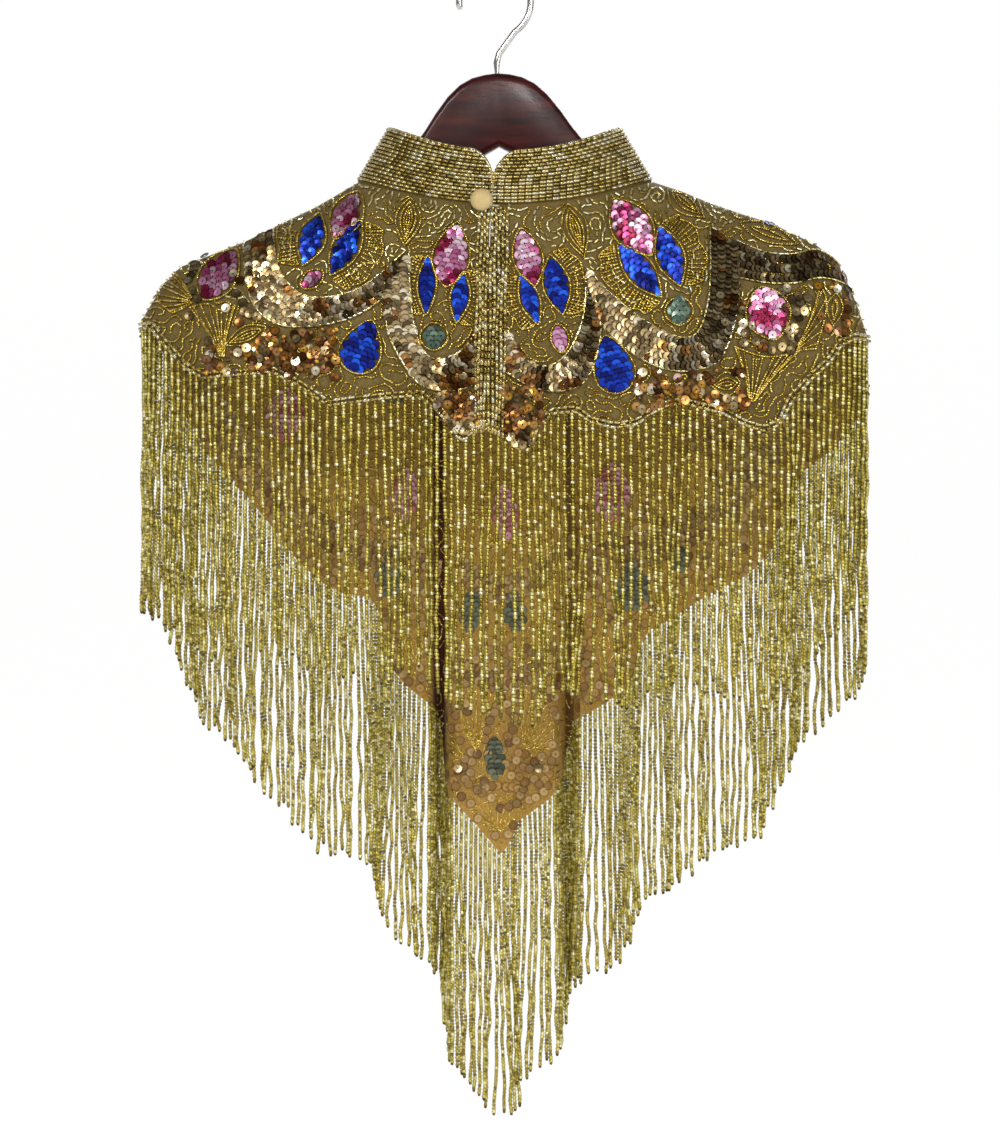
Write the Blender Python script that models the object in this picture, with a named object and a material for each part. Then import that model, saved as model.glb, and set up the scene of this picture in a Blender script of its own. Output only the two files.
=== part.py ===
# Beaded net capelet with a stand collar, a button at the nape and a fringe of bead strings,
# hanging on a lacquered wooden hanger. Metres, +Z up. The origin is the bearing point inside
# the hanger's hook. The wearer's back, with the slit, faces -Y; the long front is at +Y.

import math

import bmesh
import bpy
import numpy as np
from mathutils import Matrix, Vector

for thing in list(bpy.data.objects):
    bpy.data.objects.remove(thing, do_unlink=True)

MM = 0.001

# Garment
CENTRE_X = 6 * MM
HALF_WIDTH = 204.2 * MM
CLOTH = 1.6 * MM
SEAM_GAP = 0.4 * MM
NECK_HALF_WIDTH = 82.3 * MM
NECK_BACK_DEPTH = 40 * MM
NECK_FRONT_DEPTH = 50 * MM
NECK_SIDE_HEIGHT = -118 * MM
NECK_BACK_DROP = 16 * MM
NECK_FRONT_DROP = 64 * MM
HEM_BACK_DEPTH = 60 * MM
HEM_FRONT_DEPTH = 64 * MM
SIDE_ANGLE = math.radians(85.5)
NARROW_FOLD = 9 * MM
PLEAT_CROWN = 0.35

# Slit at the nape, from the neck to the hem
SLIT_TOP_X = -1.2 * MM
SLIT_HEM_X = -4.2 * MM

# Collar
COLLAR_HEIGHT = 29 * MM
COLLAR_END_HEIGHT = 11 * MM
COLLAR_END_RADIUS = 17 * MM
COLLAR_TOP_HALF_WIDTH = 65 * MM
COLLAR_LEAN_DEPTH = 1.5 * MM
COLLAR_THICK = 2.2 * MM

# Placket strips
PLACKET_THICK = 1.5 * MM
PLACKET_LIFT = 0.4 * MM
PLACKET_LEFT_WIDTH = 6.4 * MM
PLACKET_RIGHT_WIDTH = 9.6 * MM

# Button
BUTTON_RADIUS = 6.1 * MM
BUTTON_DOME = 3.4 * MM
BUTTON_RIM = 1.0 * MM
BUTTON_X = -6.8 * MM
BUTTON_Z = -132.5 * MM
BUTTON_BACK_Y = -44.6 * MM
SHANK_RADIUS = 1.8 * MM

# Fringe
FRINGE_LENGTH = 150 * MM
STRIP_HEIGHT = 2.6 * MM
STRIP_THICK = 1.8 * MM
STRAND_WIDTH = 1.8 * MM
STRAND_PITCH = 4.7 * MM
STRAND_WAVER = 0.7 * MM
STEEPEST = 4.5

# Hanger
HANGER_TILT = math.radians(1.67)
WOOD_THICK = 15 * MM
WOOD_CORNER = 0.42
WIRE_RADIUS = 1.9 * MM
HOOK_RADIUS = 20 * MM
HOOK_START = math.radians(-58)
HOOK_SWEEP = math.radians(248)


def table(names, *rows):
    # Rows of millimetres as named columns of metres.
    return {name: np.array(column) * MM for name, column in zip(names.split(), zip(*rows))}


# The shoulder line, from the left hem corner over both shoulders to the right one
SHOULDER = table(
    "x z",
    (-200, -199), (-197.7, -195), (-187, -177.5), (-176, -165.5), (-167, -162),
    (-139, -151), (-121, -142), (-100, -132), (-76, -118), (88, -117.5), (105, -123),
    (122, -130), (138, -135.5), (156, -141), (169, -147.5), (180, -152.5), (191, -161),
    (198, -173), (204, -187), (210, -205),
)

# The back's scalloped hem
HEM_BACK = table(
    "x z",
    (-200, -202), (-191, -202), (-185, -210), (-171, -225), (-160, -231), (-122, -228),
    (-112, -233), (-102, -239), (-91, -247), (-78, -245), (-52, -242), (-41, -241),
    (-32, -249), (-22, -261), (-18, -267), (-11, -261), (-3, -259.5), (6, -263.5),
    (13, -271), (21, -269), (25, -257.5), (33, -251), (44, -250), (52, -255.5),
    (66, -259), (79, -257), (85, -252), (95, -247), (103, -245.5), (114, -248),
    (125, -250.5), (137, -257), (148, -260.5), (158, -256.5), (165, -243), (175, -232),
    (187, -221), (193, -212), (201, -208), (210, -209),
)

# The front's long hem: left side, left lobe, fold, tab, fold, right lobe, right side
HEM_FRONT = table(
    "x z",
    (-200, -205), (-189, -210), (-183, -222), (-178, -245), (-170, -257), (-164, -270),
    (-153, -280), (-139, -296), (-120, -321), (-110, -333), (-99, -343), (-88, -349),
    (-71, -352), (-65, -364), (-61, -384), (-53, -400), (-40, -411), (-35, -414),
    (-30, -424), (-26, -466), (-12, -481), (4, -500), (10, -492), (14, -481),
    (34, -466), (40, -448), (45, -424), (61, -414), (75, -406), (80, -396),
    (85, -377), (90, -370), (100, -365), (118, -353), (126, -348), (140, -342),
    (150, -334), (156, -327), (163, -313), (170, -291), (176, -280), (188, -271),
    (198, -261), (206, -250), (210, -238),
)

# Folds and ripples, each a bump of the cloth along Y (positive is away from the body)
FOLDS_BACK = table(
    "x half_width depth",
    (-150, 26, 5), (-92, 24, 6), (-46, 13, -6), (-28, 10, 5), (14, 12, 5),
    (32, 10, -6), (56, 12, -5), (92, 24, 6), (150, 26, 5),
)
FOLDS_FRONT = table(
    "x half_width depth",
    (-30.5, 7.5, 15), (42.5, 8, 14), (-58, 18, 6), (-105, 24, -7), (-150, 22, 7),
    (6, 22, 5), (68, 18, 6), (112, 24, -7), (158, 20, 7),
)

# The hanger's wood, half of it, in its own upright frame
HANGER_HALF = table(
    "x top bottom",
    (0, -58, -99), (7, -58.5, -103), (18, -61.5, -110), (29, -71, -117), (36, -81, -121.5),
    (43, -92, -126), (56, -107, -133.5), (70, -116.5, -141), (82, -122.5, -147),
    (105, -133.2, -157.5), (130, -143.4, -167), (155, -153.8, -176), (168, -159.2, -180),
    (174, -163.5, -180.5), (178, -169.5, -176),
)


def read(line, x, column="z"):
    return np.interp(x, line["x"], line[column])


def softened(line, x, reach=1.5 * MM):
    # A line read with its corners rounded off.
    return (read(line, x - reach) + 2 * read(line, x) + read(line, x + reach)) / 4


def neck_point(angle):
    # The neckline, by the angle from the middle of the back round to the front.
    front = math.cos(angle) < 0
    depth = NECK_FRONT_DEPTH if front else NECK_BACK_DEPTH
    drop = NECK_FRONT_DROP if front else NECK_BACK_DROP
    power = 1.5 if front else 2.0
    height = NECK_SIDE_HEIGHT - drop * abs(math.cos(angle)) ** power
    return Vector((CENTRE_X + NECK_HALF_WIDTH * math.sin(angle), -depth * math.cos(angle), height))


def fold_depth(folds, x, drop):
    # How far the folds push the cloth out at this place; they grow towards the hem.
    total = 0.0
    for place, half, depth in zip(folds["x"], folds["half_width"], folds["depth"]):
        reach = abs(x - place) / half
        if half < NARROW_FOLD:
            reach = max(0.0, (reach - PLEAT_CROWN) / (1 - PLEAT_CROWN))
        if reach < 1:
            total += depth * (0.5 + 0.5 * math.cos(math.pi * reach))
    return total * drop * drop


def panel_point(side, x, turn):
    # A point of the outer cloth. side is -1 for the back and 1 for the front, turn runs from
    # 0 at the neckline or shoulder to 1 at the hem. The column hangs straight down at x.
    across = max(-1.0, min(1.0, (x - CENTRE_X) / HALF_WIDTH))
    hem_depth = HEM_FRONT_DEPTH if side > 0 else HEM_BACK_DEPTH
    hem = HEM_FRONT if side > 0 else HEM_BACK
    at_neck = (x - CENTRE_X) / NECK_HALF_WIDTH
    if abs(at_neck) < 1:
        angle = math.asin(at_neck)
        top = neck_point(math.pi - angle if side > 0 else angle)
        top_depth = abs(top.y)
        top_height = top.z - SEAM_GAP
        fullness = 0.5 + 0.35 * math.cos(angle) ** 2
    else:
        top_depth = 0.0
        top_height = float(read(SHOULDER, x))
        fullness = 0.5
    top_depth = max(top_depth, SEAM_GAP / 2)
    drop = 1 - math.cos(turn * math.pi / 2)
    bulge = (1 - (1 - drop) ** 2) ** fullness
    bottom_height = float(softened(hem, x))
    bottom_depth = hem_depth * math.sqrt(1 - across * across)
    folds = FOLDS_FRONT if side > 0 else FOLDS_BACK
    depth = top_depth + (bottom_depth - top_depth) * bulge + fold_depth(folds, x, drop)
    return Vector((x, side * depth, top_height + (bottom_height - top_height) * drop))


def slit_x(turn):
    return SLIT_TOP_X + (SLIT_HEM_X - SLIT_TOP_X) * turn


def grid_normals(grid, outward):
    # Outward normals of a grid of points, from its neighbours.
    rows, columns = len(grid), len(grid[0])
    result = []
    for r in range(rows):
        line = []
        for c in range(columns):
            down = grid[min(r + 1, rows - 1)][c] - grid[max(r - 1, 0)][c]
            over = grid[r][min(c + 1, columns - 1)] - grid[r][max(c - 1, 0)]
            normal = over.cross(down)
            normal.normalize()
            line.append(normal * outward)
        result.append(line)
    return result


def finish(name, mesh_data, color, roughness, metallic=0.0, smooth=True):
    # A named object with its own material, its faces pointing out.
    bmesh.ops.recalc_face_normals(mesh_data, faces=mesh_data.faces)
    if mesh_data.calc_volume(signed=True) < 0:
        bmesh.ops.reverse_faces(mesh_data, faces=mesh_data.faces)
    mesh = bpy.data.meshes.new(name)
    mesh_data.to_mesh(mesh)
    mesh_data.free()
    if smooth:
        mesh.shade_smooth()
        mesh.set_sharp_from_angle(angle=math.radians(40))
    obj = bpy.data.objects.new(name, mesh)
    bpy.context.scene.collection.objects.link(obj)
    material = bpy.data.materials.new(name)
    material.use_nodes = True
    shader = material.node_tree.nodes["Principled BSDF"]
    shader.inputs["Base Color"].default_value = (*color, 1)
    shader.inputs["Roughness"].default_value = roughness
    shader.inputs["Metallic"].default_value = metallic
    mesh.materials.append(material)
    return obj


def wall(outer, inner):
    # A closed wall between two grids of points with the same rows and columns.
    mesh_data = bmesh.new()
    rows, columns = len(outer), len(outer[0])
    sheets = [[[mesh_data.verts.new(p) for p in row] for row in grid] for grid in (outer, inner)]
    for front_sheet in (True, False):
        sheet = sheets[0] if front_sheet else sheets[1]
        for r in range(rows - 1):
            for c in range(columns - 1):
                corners = [sheet[r][c], sheet[r][c + 1], sheet[r + 1][c + 1], sheet[r + 1][c]]
                mesh_data.faces.new(corners if front_sheet else corners[::-1])
    rim = [(0, c) for c in range(columns - 1)]
    rim += [(r, columns - 1) for r in range(rows - 1)]
    rim += [(rows - 1, c) for c in range(columns - 1, 0, -1)]
    rim += [(r, 0) for r in range(rows - 1, 0, -1)]
    for here, there in zip(rim, rim[1:] + rim[:1]):
        a, b = sheets[0][here[0]][here[1]], sheets[0][there[0]][there[1]]
        c, d = sheets[1][there[0]][there[1]], sheets[1][here[0]][here[1]]
        mesh_data.faces.new((b, a, d, c))
    bmesh.ops.triangulate(mesh_data, faces=mesh_data.faces)
    return mesh_data


def offset_grid(grid, normals, distance):
    return [[p + n * distance for p, n in zip(row, ups)] for row, ups in zip(grid, normals)]


def columns_across(start, end, count, folds):
    # Column places between two edges, evenly round the body, with more of them in deep folds.
    first = math.asin(max(-1, min(1, (start - CENTRE_X) / HALF_WIDTH)))
    last = math.asin(max(-1, min(1, (end - CENTRE_X) / HALF_WIDTH)))
    places = [CENTRE_X + HALF_WIDTH * math.sin(first + (last - first) * i / count)
              for i in range(count + 1)]
    for place, half, depth in zip(folds["x"], folds["half_width"], folds["depth"]):
        if half < NARROW_FOLD and start < place < end:
            inside = [place + hand * half * part for hand in (-1, 1)
                      for part in (0.15, 0.4, 0.58, 0.75, 1)]
            places = [p for p in places if abs(p - place) > half * 1.25] + inside
    return sorted(places)


def panel_grid(side, places, rows):
    # Outer points of a panel whose columns stand at fixed places across.
    return [[panel_point(side, x, r / rows) for x in places] for r in range(rows + 1)]


def back_grid(hand, count, rows):
    # Outer points of one back piece. Its inner edge follows the slit, and the three columns
    # there are the placket's.
    width = PLACKET_RIGHT_WIDTH if hand > 0 else PLACKET_LEFT_WIDTH
    corner = CENTRE_X + hand * HALF_WIDTH * math.sin(SIDE_ANGLE)
    grid = []
    for r in range(rows + 1):
        slit_edge = slit_x(r / rows) + hand * SEAM_GAP / 2
        inner_edge = slit_edge + hand * width
        low, high = sorted((corner, inner_edge))
        across = columns_across(low, high, count, FOLDS_BACK)
        across = sorted(across + [slit_edge, slit_edge + hand * width / 2])
        grid.append([panel_point(-1, x, r / rows) for x in across])
    return grid


def clear_of_ridge(grid, side):
    # Keeps both faces of a panel on its own side of the shoulder line.
    for row in grid:
        for point in row:
            point.y = side * max(side * point.y, SEAM_GAP / 2)
    return grid


def build_panel(name, side, outer, color):
    # One panel's wall, and its hem as pairs of outer and inner points.
    normals = grid_normals(outer, side)
    inner = clear_of_ridge(offset_grid(outer, normals, -CLOTH), side)
    finish(name, wall(outer, inner), color, 0.55)
    if name == "back_left":
        build_placket("placket_left", -1, outer, normals)
    if name == "back_right":
        build_placket("placket_right", 1, outer, normals)
    return list(zip(outer[-1], inner[-1]))


def build_panels():
    left, right = (CENTRE_X + hand * HALF_WIDTH * math.sin(SIDE_ANGLE) for hand in (-1, 1))
    front = panel_grid(1, columns_across(left, right, 60, FOLDS_FRONT), 9)
    return {
        "back_left": build_panel("back_left", -1, back_grid(-1, 30, 8), (0.27, 0.22, 0.11)),
        "back_right": build_panel("back_right", -1, back_grid(1, 30, 8), (0.27, 0.22, 0.11)),
        "front": build_panel("front", 1, front, (0.30, 0.20, 0.09)),
    }


def build_placket(name, hand, outer, normals):
    # A strip beside the slit: the panel's three columns there, moved out.
    first_row, inset = 1, 0.14
    sheets = []
    for lift in (PLACKET_LIFT + PLACKET_THICK, PLACKET_LIFT):
        sheet = []
        for row, ups in list(zip(outer, normals))[first_row:]:
            line = [p + n * lift for p, n in zip(row, ups)]
            line = line[:3] if hand > 0 else line[-3:]
            edge = 0 if hand > 0 else 2
            line[edge] = line[edge].lerp(line[1], inset)
            sheet.append(line)
        sheets.append(sheet)
    finish(name, wall(*sheets), (0.62, 0.55, 0.32), 0.3)


def collar_points(angle, end_distance, part, inset):
    # A point of the collar: part runs from 0 at the neckline to 1 at the top edge.
    base = neck_point(angle)
    rounding = min(end_distance / COLLAR_END_RADIUS, 1)
    rise = COLLAR_END_HEIGHT + (COLLAR_HEIGHT - COLLAR_END_HEIGHT) * math.sqrt(
        max(0.0, 1 - (1 - rounding) ** 2))
    lean = part * rise / COLLAR_HEIGHT
    half = NECK_HALF_WIDTH + (COLLAR_TOP_HALF_WIDTH - NECK_HALF_WIDTH) * lean
    depth = NECK_FRONT_DEPTH if math.cos(angle) < 0 else NECK_BACK_DEPTH
    depth -= COLLAR_LEAN_DEPTH * lean
    x = CENTRE_X + (half - inset) * math.sin(angle)
    return Vector((x, -(depth - inset) * math.cos(angle), base.z + rise * part))


def build_collar():
    slit_angle = math.asin((SLIT_TOP_X - CENTRE_X) / NECK_HALF_WIDTH)
    edge_angle = SEAM_GAP / NECK_HALF_WIDTH
    start, end = slit_angle - edge_angle, slit_angle + edge_angle - 2 * math.pi
    near_ends = [0, 0.004, 0.01, 0.018, 0.028, 0.04]
    middle = [0.055 + 0.89 * i / 46 for i in range(47)]
    places = near_ends + middle + [1 - p for p in reversed(near_ends)]
    girth = 2 * math.pi * NECK_HALF_WIDTH
    rows = 3
    outer, inner = [], []
    for r in range(rows + 1):
        part = 1 - r / rows
        outer_row, inner_row = [], []
        for place in places:
            angle = start + (end - start) * place
            distance = min(place, 1 - place) * girth
            outer_row.append(collar_points(angle, distance, part, 0.0))
            inner_row.append(collar_points(angle, distance, part, COLLAR_THICK))
        outer.append(outer_row)
        inner.append(inner_row)
    finish("collar", wall(outer, inner), (0.60, 0.53, 0.32), 0.3)


def build_button():
    # A turned dome with a rounded rim and a short shank, its axis along Y.
    dome = [(BUTTON_RADIUS * math.cos(a), BUTTON_RIM + BUTTON_DOME * math.sin(a))
            for a in (0, 0.35, 0.75, 1.15)]
    collar_face = -collar_points(math.asin((BUTTON_X - CENTRE_X) / NECK_HALF_WIDTH), 1, 0.2, 0).y
    shank = -BUTTON_BACK_Y - collar_face - 0.4 * MM
    profile = [(SHANK_RADIUS, -shank), (SHANK_RADIUS, 0), (BUTTON_RADIUS * 0.9, 0)] + dome
    around = 20
    mesh_data = bmesh.new()
    rings = []
    for radius, out in profile:
        rings.append([mesh_data.verts.new((BUTTON_X + radius * math.cos(2 * math.pi * i / around),
                                           BUTTON_BACK_Y - out,
                                           BUTTON_Z + radius * math.sin(2 * math.pi * i / around)))
                      for i in range(around)])
    for lower, upper in zip(rings, rings[1:]):
        for i in range(around):
            j = (i + 1) % around
            mesh_data.faces.new((lower[i], lower[j], upper[j], upper[i]))
    mesh_data.faces.new(rings[0])
    crown = mesh_data.verts.new((BUTTON_X, BUTTON_BACK_Y - BUTTON_RIM - BUTTON_DOME, BUTTON_Z))
    for i in range(around):
        mesh_data.faces.new((rings[-1][i], rings[-1][(i + 1) % around], crown))
    bmesh.ops.triangulate(mesh_data, faces=mesh_data.faces)
    finish("button", mesh_data, (0.53, 0.38, 0.14), 0.5)


def tube(points, radius, sides, flat):
    # A closed tube along points; flat is the direction its rings are turned from.
    mesh_data = bmesh.new()
    rings = []
    for i, point in enumerate(points):
        along = (points[min(i + 1, len(points) - 1)] - points[max(i - 1, 0)]).normalized()
        side = along.cross(flat).normalized()
        up = side.cross(along)
        rings.append([mesh_data.verts.new(point + radius * (side * math.cos(a) + up * math.sin(a)))
                      for a in (2 * math.pi * k / sides for k in range(sides))])
    for lower, upper in zip(rings, rings[1:]):
        for k in range(sides):
            mesh_data.faces.new((lower[k], lower[(k + 1) % sides], upper[(k + 1) % sides], upper[k]))
    mesh_data.faces.new(rings[0])
    mesh_data.faces.new(rings[-1])
    bmesh.ops.triangulate(mesh_data, faces=mesh_data.faces)
    return mesh_data


def build_loop():
    # A thin cord from the right collar end round the button's shank.
    radius = 0.5 * MM
    reach = SHANK_RADIUS + radius + 0.35 * MM
    y = BUTTON_BACK_Y + radius + 0.4 * MM
    points = [Vector((SLIT_TOP_X + 4 * MM, y, BUTTON_Z + 1.2 * reach))]
    for i in range(9):
        turn = math.pi / 2 + math.pi * i / 8
        points.append(Vector((BUTTON_X + reach * math.cos(turn), y, BUTTON_Z + reach * math.sin(turn))))
    points.append(Vector((SLIT_TOP_X + 4 * MM, y, BUTTON_Z - 1.2 * reach)))
    finish("button_loop", tube(points, radius, 6, Vector((0, 1, 0))), (0.62, 0.55, 0.35), 0.6)


def hem_run(hem):
    # Distance along the hem's middle line, as seen from above, at each of its columns.
    run = [0.0]
    for (outer, inner), (next_outer, next_inner) in zip(hem, hem[1:]):
        step = (next_outer + next_inner - outer - inner) / 2
        run.append(run[-1] + math.hypot(step.x, step.y))
    return run


def hem_steepness(hem, run):
    # How much longer each stretch of hem is than it looks from above.
    steep = []
    for index in range(len(hem) - 1):
        rise = hem[index + 1][0].z - hem[index][0].z
        steep.append(min(math.hypot(1, rise / (run[index + 1] - run[index])), STEEPEST))
    return steep


def strip_cells(run):
    # The strip's sections and which of its cells carry a strand. Sections stand at the hem's
    # columns and at both edges of each strand, which is shifted off a column inside it.
    count = int(run[-1] / STRAND_PITCH)
    margin = (run[-1] - (count - 1) * STRAND_PITCH) / 2
    strands = []
    for i in range(count):
        left = margin + i * STRAND_PITCH - STRAND_WIDTH / 2
        for column in run:
            if left < column <= left + STRAND_WIDTH / 2:
                left = column
            elif left + STRAND_WIDTH / 2 < column < left + STRAND_WIDTH:
                left = column - STRAND_WIDTH
        if not strands or left > strands[-1] + STRAND_WIDTH + 0.8 * MM:
            strands.append(left)
    least = 0.25 * MM
    marks = sorted([(s, True) for s in strands] + [(s + STRAND_WIDTH, False) for s in strands])
    edges = [distance for distance, opening in marks]
    columns = [c for c in run if all(abs(c - e) > least for e in edges)
               and not any(s + 1e-6 < c < s + STRAND_WIDTH - 1e-6 for s in strands)]
    sections = sorted(edges + columns)
    carries = [any(abs(a - s) < 1e-7 for s in strands) for a in sections[:-1]]
    return sections, carries


def build_fringe(name, hem, seed):
    # A strip just below the hem, and strands drawn down from the cells that carry one.
    waver = np.random.default_rng(seed)
    run = hem_run(hem)
    steepness = hem_steepness(hem, run)
    places, carries = strip_cells(run)
    mesh_data = bmesh.new()
    sections, heights = [], []
    for place in places:
        index = max(i for i in range(len(run) - 1) if run[i] <= place + 1e-9)
        share = (place - run[index]) / (run[index + 1] - run[index])
        outer = hem[index][0].lerp(hem[index + 1][0], share)
        inner = hem[index][1].lerp(hem[index + 1][1], share)
        near = [steepness[i] for i in (index - 1, index, index + 1) if 0 <= i < len(steepness)
                and run[i] - 2 * MM <= place <= run[i + 1] + 2 * MM]
        steep = max(near)
        middle = (outer + inner) / 2
        out = Vector((outer.x - inner.x, outer.y - inner.y, 0)).normalized()
        top = min(outer.z, inner.z) - SEAM_GAP * steep
        bottom = top - STRIP_HEIGHT * steep
        heights.append(outer.z)
        corners = [(0.5, top), (-0.5, top), (-0.5, bottom), (0.5, bottom)]
        sections.append([mesh_data.verts.new((middle.x + out.x * STRIP_THICK * s,
                                              middle.y + out.y * STRIP_THICK * s, z))
                         for s, z in corners])
    for carry, a, b in zip(carries, sections, sections[1:]):
        for k in range(4):
            if not (carry and k == 2):
                j = (k + 1) % 4
                mesh_data.faces.new((a[k], b[k], b[j], a[j]))
    mesh_data.faces.new(sections[0][::-1])
    mesh_data.faces.new(sections[-1])
    for index, carry in enumerate(carries):
        if carry:
            tip = (heights[index] + heights[index + 1]) / 2 - FRINGE_LENGTH
            draw_strand(mesh_data, sections[index], sections[index + 1],
                        tip + waver.uniform(-3, 3) * MM, waver)
    bmesh.ops.triangulate(mesh_data, faces=mesh_data.faces)
    finish(name, mesh_data, (0.42, 0.36, 0.10), 0.25, 0.3, smooth=False)


def draw_strand(mesh_data, a, b, tip, waver):
    # A four-sided strand from the underside of one cell down to its tip, a little wavering.
    roots = (a[2], b[2], b[3], a[3])
    ring = list(roots)
    centre = sum((v.co for v in roots), Vector()) / 4
    lowest = min(v.co.z for v in roots)
    lean = Vector((waver.uniform(-1, 1), waver.uniform(-1, 1), 0)) * STRAND_WAVER
    for part, size, sway in ((0.45, 1.0, 1.0), (1.0, 0.8, 0.6)):
        height = lowest + (tip - lowest) * part
        new_ring = []
        for root in roots:
            flat = Vector((root.co.x - centre.x, root.co.y - centre.y, 0)) * size
            new_ring.append(mesh_data.verts.new(
                (centre.x + flat.x + lean.x * sway, centre.y + flat.y + lean.y * sway, height)))
        for k in range(4):
            j = (k + 1) % 4
            mesh_data.faces.new((ring[k], ring[j], new_ring[j], new_ring[k]))
        ring = new_ring
    mesh_data.faces.new(ring)


def part_of_hem(hem, start, end):
    # The stretch of a hem between two places across, cut at those places.
    stretch = []
    for (outer, inner), (next_outer, next_inner) in zip(hem, hem[1:]):
        for limit in (start, end):
            if outer.x < limit < next_outer.x:
                share = (limit - outer.x) / (next_outer.x - outer.x)
                stretch.append((outer.lerp(next_outer, share), inner.lerp(next_inner, share)))
        if start <= next_outer.x <= end:
            stretch.append((next_outer, next_inner))
    if start <= hem[0][0].x:
        stretch.insert(0, hem[0])
    return stretch


def build_fringes(hems):
    front = hems["front"]
    edge = SEAM_GAP / 2
    tab_left, tab_right = (float(x) for x in FOLDS_FRONT["x"][:2])
    build_fringe("fringe_back_left", hems["back_left"], 1)
    build_fringe("fringe_back_right", hems["back_right"], 2)
    build_fringe("fringe_front_left", part_of_hem(front, -1, tab_left - edge), 3)
    build_fringe("fringe_front_tab", part_of_hem(front, tab_left + edge, tab_right - edge), 4)
    build_fringe("fringe_front_right", part_of_hem(front, tab_right + edge, 1), 5)


def build_hanger():
    # Lofted wood: a rounded section at each station, from the left end to the right one.
    places = [-x for x in HANGER_HALF["x"][:0:-1]] + list(HANGER_HALF["x"])
    mesh_data = bmesh.new()
    rings = []
    for x in places:
        top, bottom = (float(read(HANGER_HALF, abs(x), c)) for c in ("top", "bottom"))
        height, middle = (top - bottom) / 2, (top + bottom) / 2
        round_off = min(WOOD_CORNER * WOOD_THICK, height * 0.7)
        half = WOOD_THICK / 2
        shape = [(half, height - round_off), (half - 0.3 * round_off, height - 0.3 * round_off),
                 (half - round_off, height), (round_off - half, height),
                 (0.3 * round_off - half, height - 0.3 * round_off), (-half, height - round_off)]
        shape += [(y, -z) for y, z in reversed(shape)]
        rings.append([mesh_data.verts.new((x, y, middle + z)) for y, z in shape])
    for a, b in zip(rings, rings[1:]):
        for k in range(len(a)):
            j = (k + 1) % len(a)
            mesh_data.faces.new((a[k], b[k], b[j], a[j]))
    mesh_data.faces.new(rings[0])
    mesh_data.faces.new(rings[-1])
    bmesh.ops.triangulate(mesh_data, faces=mesh_data.faces)
    tilt = Matrix.Rotation(-HANGER_TILT, 4, "Y")
    bmesh.ops.transform(mesh_data, matrix=tilt, verts=mesh_data.verts)
    finish("hanger_body", mesh_data, (0.09, 0.015, 0.012), 0.25)

    # Wire hook: a straight shank, a round bow over the bearing point and a short open end.
    centre = Vector((0, 0, WIRE_RADIUS - HOOK_RADIUS))
    shank_foot = float(HANGER_HALF["top"][0]) + 0.4 * MM
    points = [Vector((0, 0, shank_foot)), Vector((0, 0, shank_foot + 6 * MM)),
              Vector((1.5 * MM, 0, shank_foot + 11 * MM))]
    for i in range(21):
        turn = HOOK_START + HOOK_SWEEP * i / 20
        points.append(centre + HOOK_RADIUS * Vector((math.cos(turn), 0, math.sin(turn))))
    mesh_data = tube(points, WIRE_RADIUS, 10, Vector((0, 1, 0)))
    bmesh.ops.transform(mesh_data, matrix=tilt, verts=mesh_data.verts)
    finish("hanger_hook", mesh_data, (0.60, 0.58, 0.55), 0.25, 1.0)


def main():
    build_hanger()
    build_collar()
    hems = build_panels()
    build_button()
    build_loop()
    build_fringes(hems)


main()
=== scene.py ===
# Beaded net capelet on a lacquered hanger: the looks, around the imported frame. Metres, +Z up.
import math
import random

import bmesh
import bpy
from mathutils import Matrix, Vector, noise


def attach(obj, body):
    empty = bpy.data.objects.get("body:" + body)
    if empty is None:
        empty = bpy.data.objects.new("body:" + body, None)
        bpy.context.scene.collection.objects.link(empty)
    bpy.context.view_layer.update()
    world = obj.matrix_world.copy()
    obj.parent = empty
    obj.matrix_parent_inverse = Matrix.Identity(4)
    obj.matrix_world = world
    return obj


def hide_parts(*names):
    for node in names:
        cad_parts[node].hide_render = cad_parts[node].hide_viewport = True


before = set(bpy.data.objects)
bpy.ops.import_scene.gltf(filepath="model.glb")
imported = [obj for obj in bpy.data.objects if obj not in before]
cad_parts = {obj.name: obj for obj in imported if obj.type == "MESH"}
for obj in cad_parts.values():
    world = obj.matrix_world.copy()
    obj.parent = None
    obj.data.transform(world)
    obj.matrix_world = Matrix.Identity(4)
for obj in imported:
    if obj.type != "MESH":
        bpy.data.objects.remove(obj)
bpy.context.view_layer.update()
mm = 0.001
scene = bpy.context.scene

# The garment's form, as the solids have it
form = {
    "centreX": 6 * mm, "halfWidth": 204.2 * mm, "seamGap": 0.4 * mm,
    "neckHalfWidth": 82.3 * mm, "neckBackDepth": 40 * mm, "neckFrontDepth": 50 * mm,
    "neckSideHeight": -118 * mm, "neckBackDrop": 16 * mm, "neckFrontDrop": 64 * mm,
    "hemBackDepth": 60 * mm, "hemFrontDepth": 64 * mm, "sideAngle": math.radians(85.5),
    "narrowFold": 9 * mm, "pleatCrown": 0.35, "slitTop": -1.2 * mm, "slitHem": -4.2 * mm,
    "fringeLength": 150 * mm,
}


def table(names, *rows):  # rows of millimetres as named columns of metres
    return {name: [v * mm for v in column] for name, column in zip(names.split(), zip(*rows))}


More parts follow.
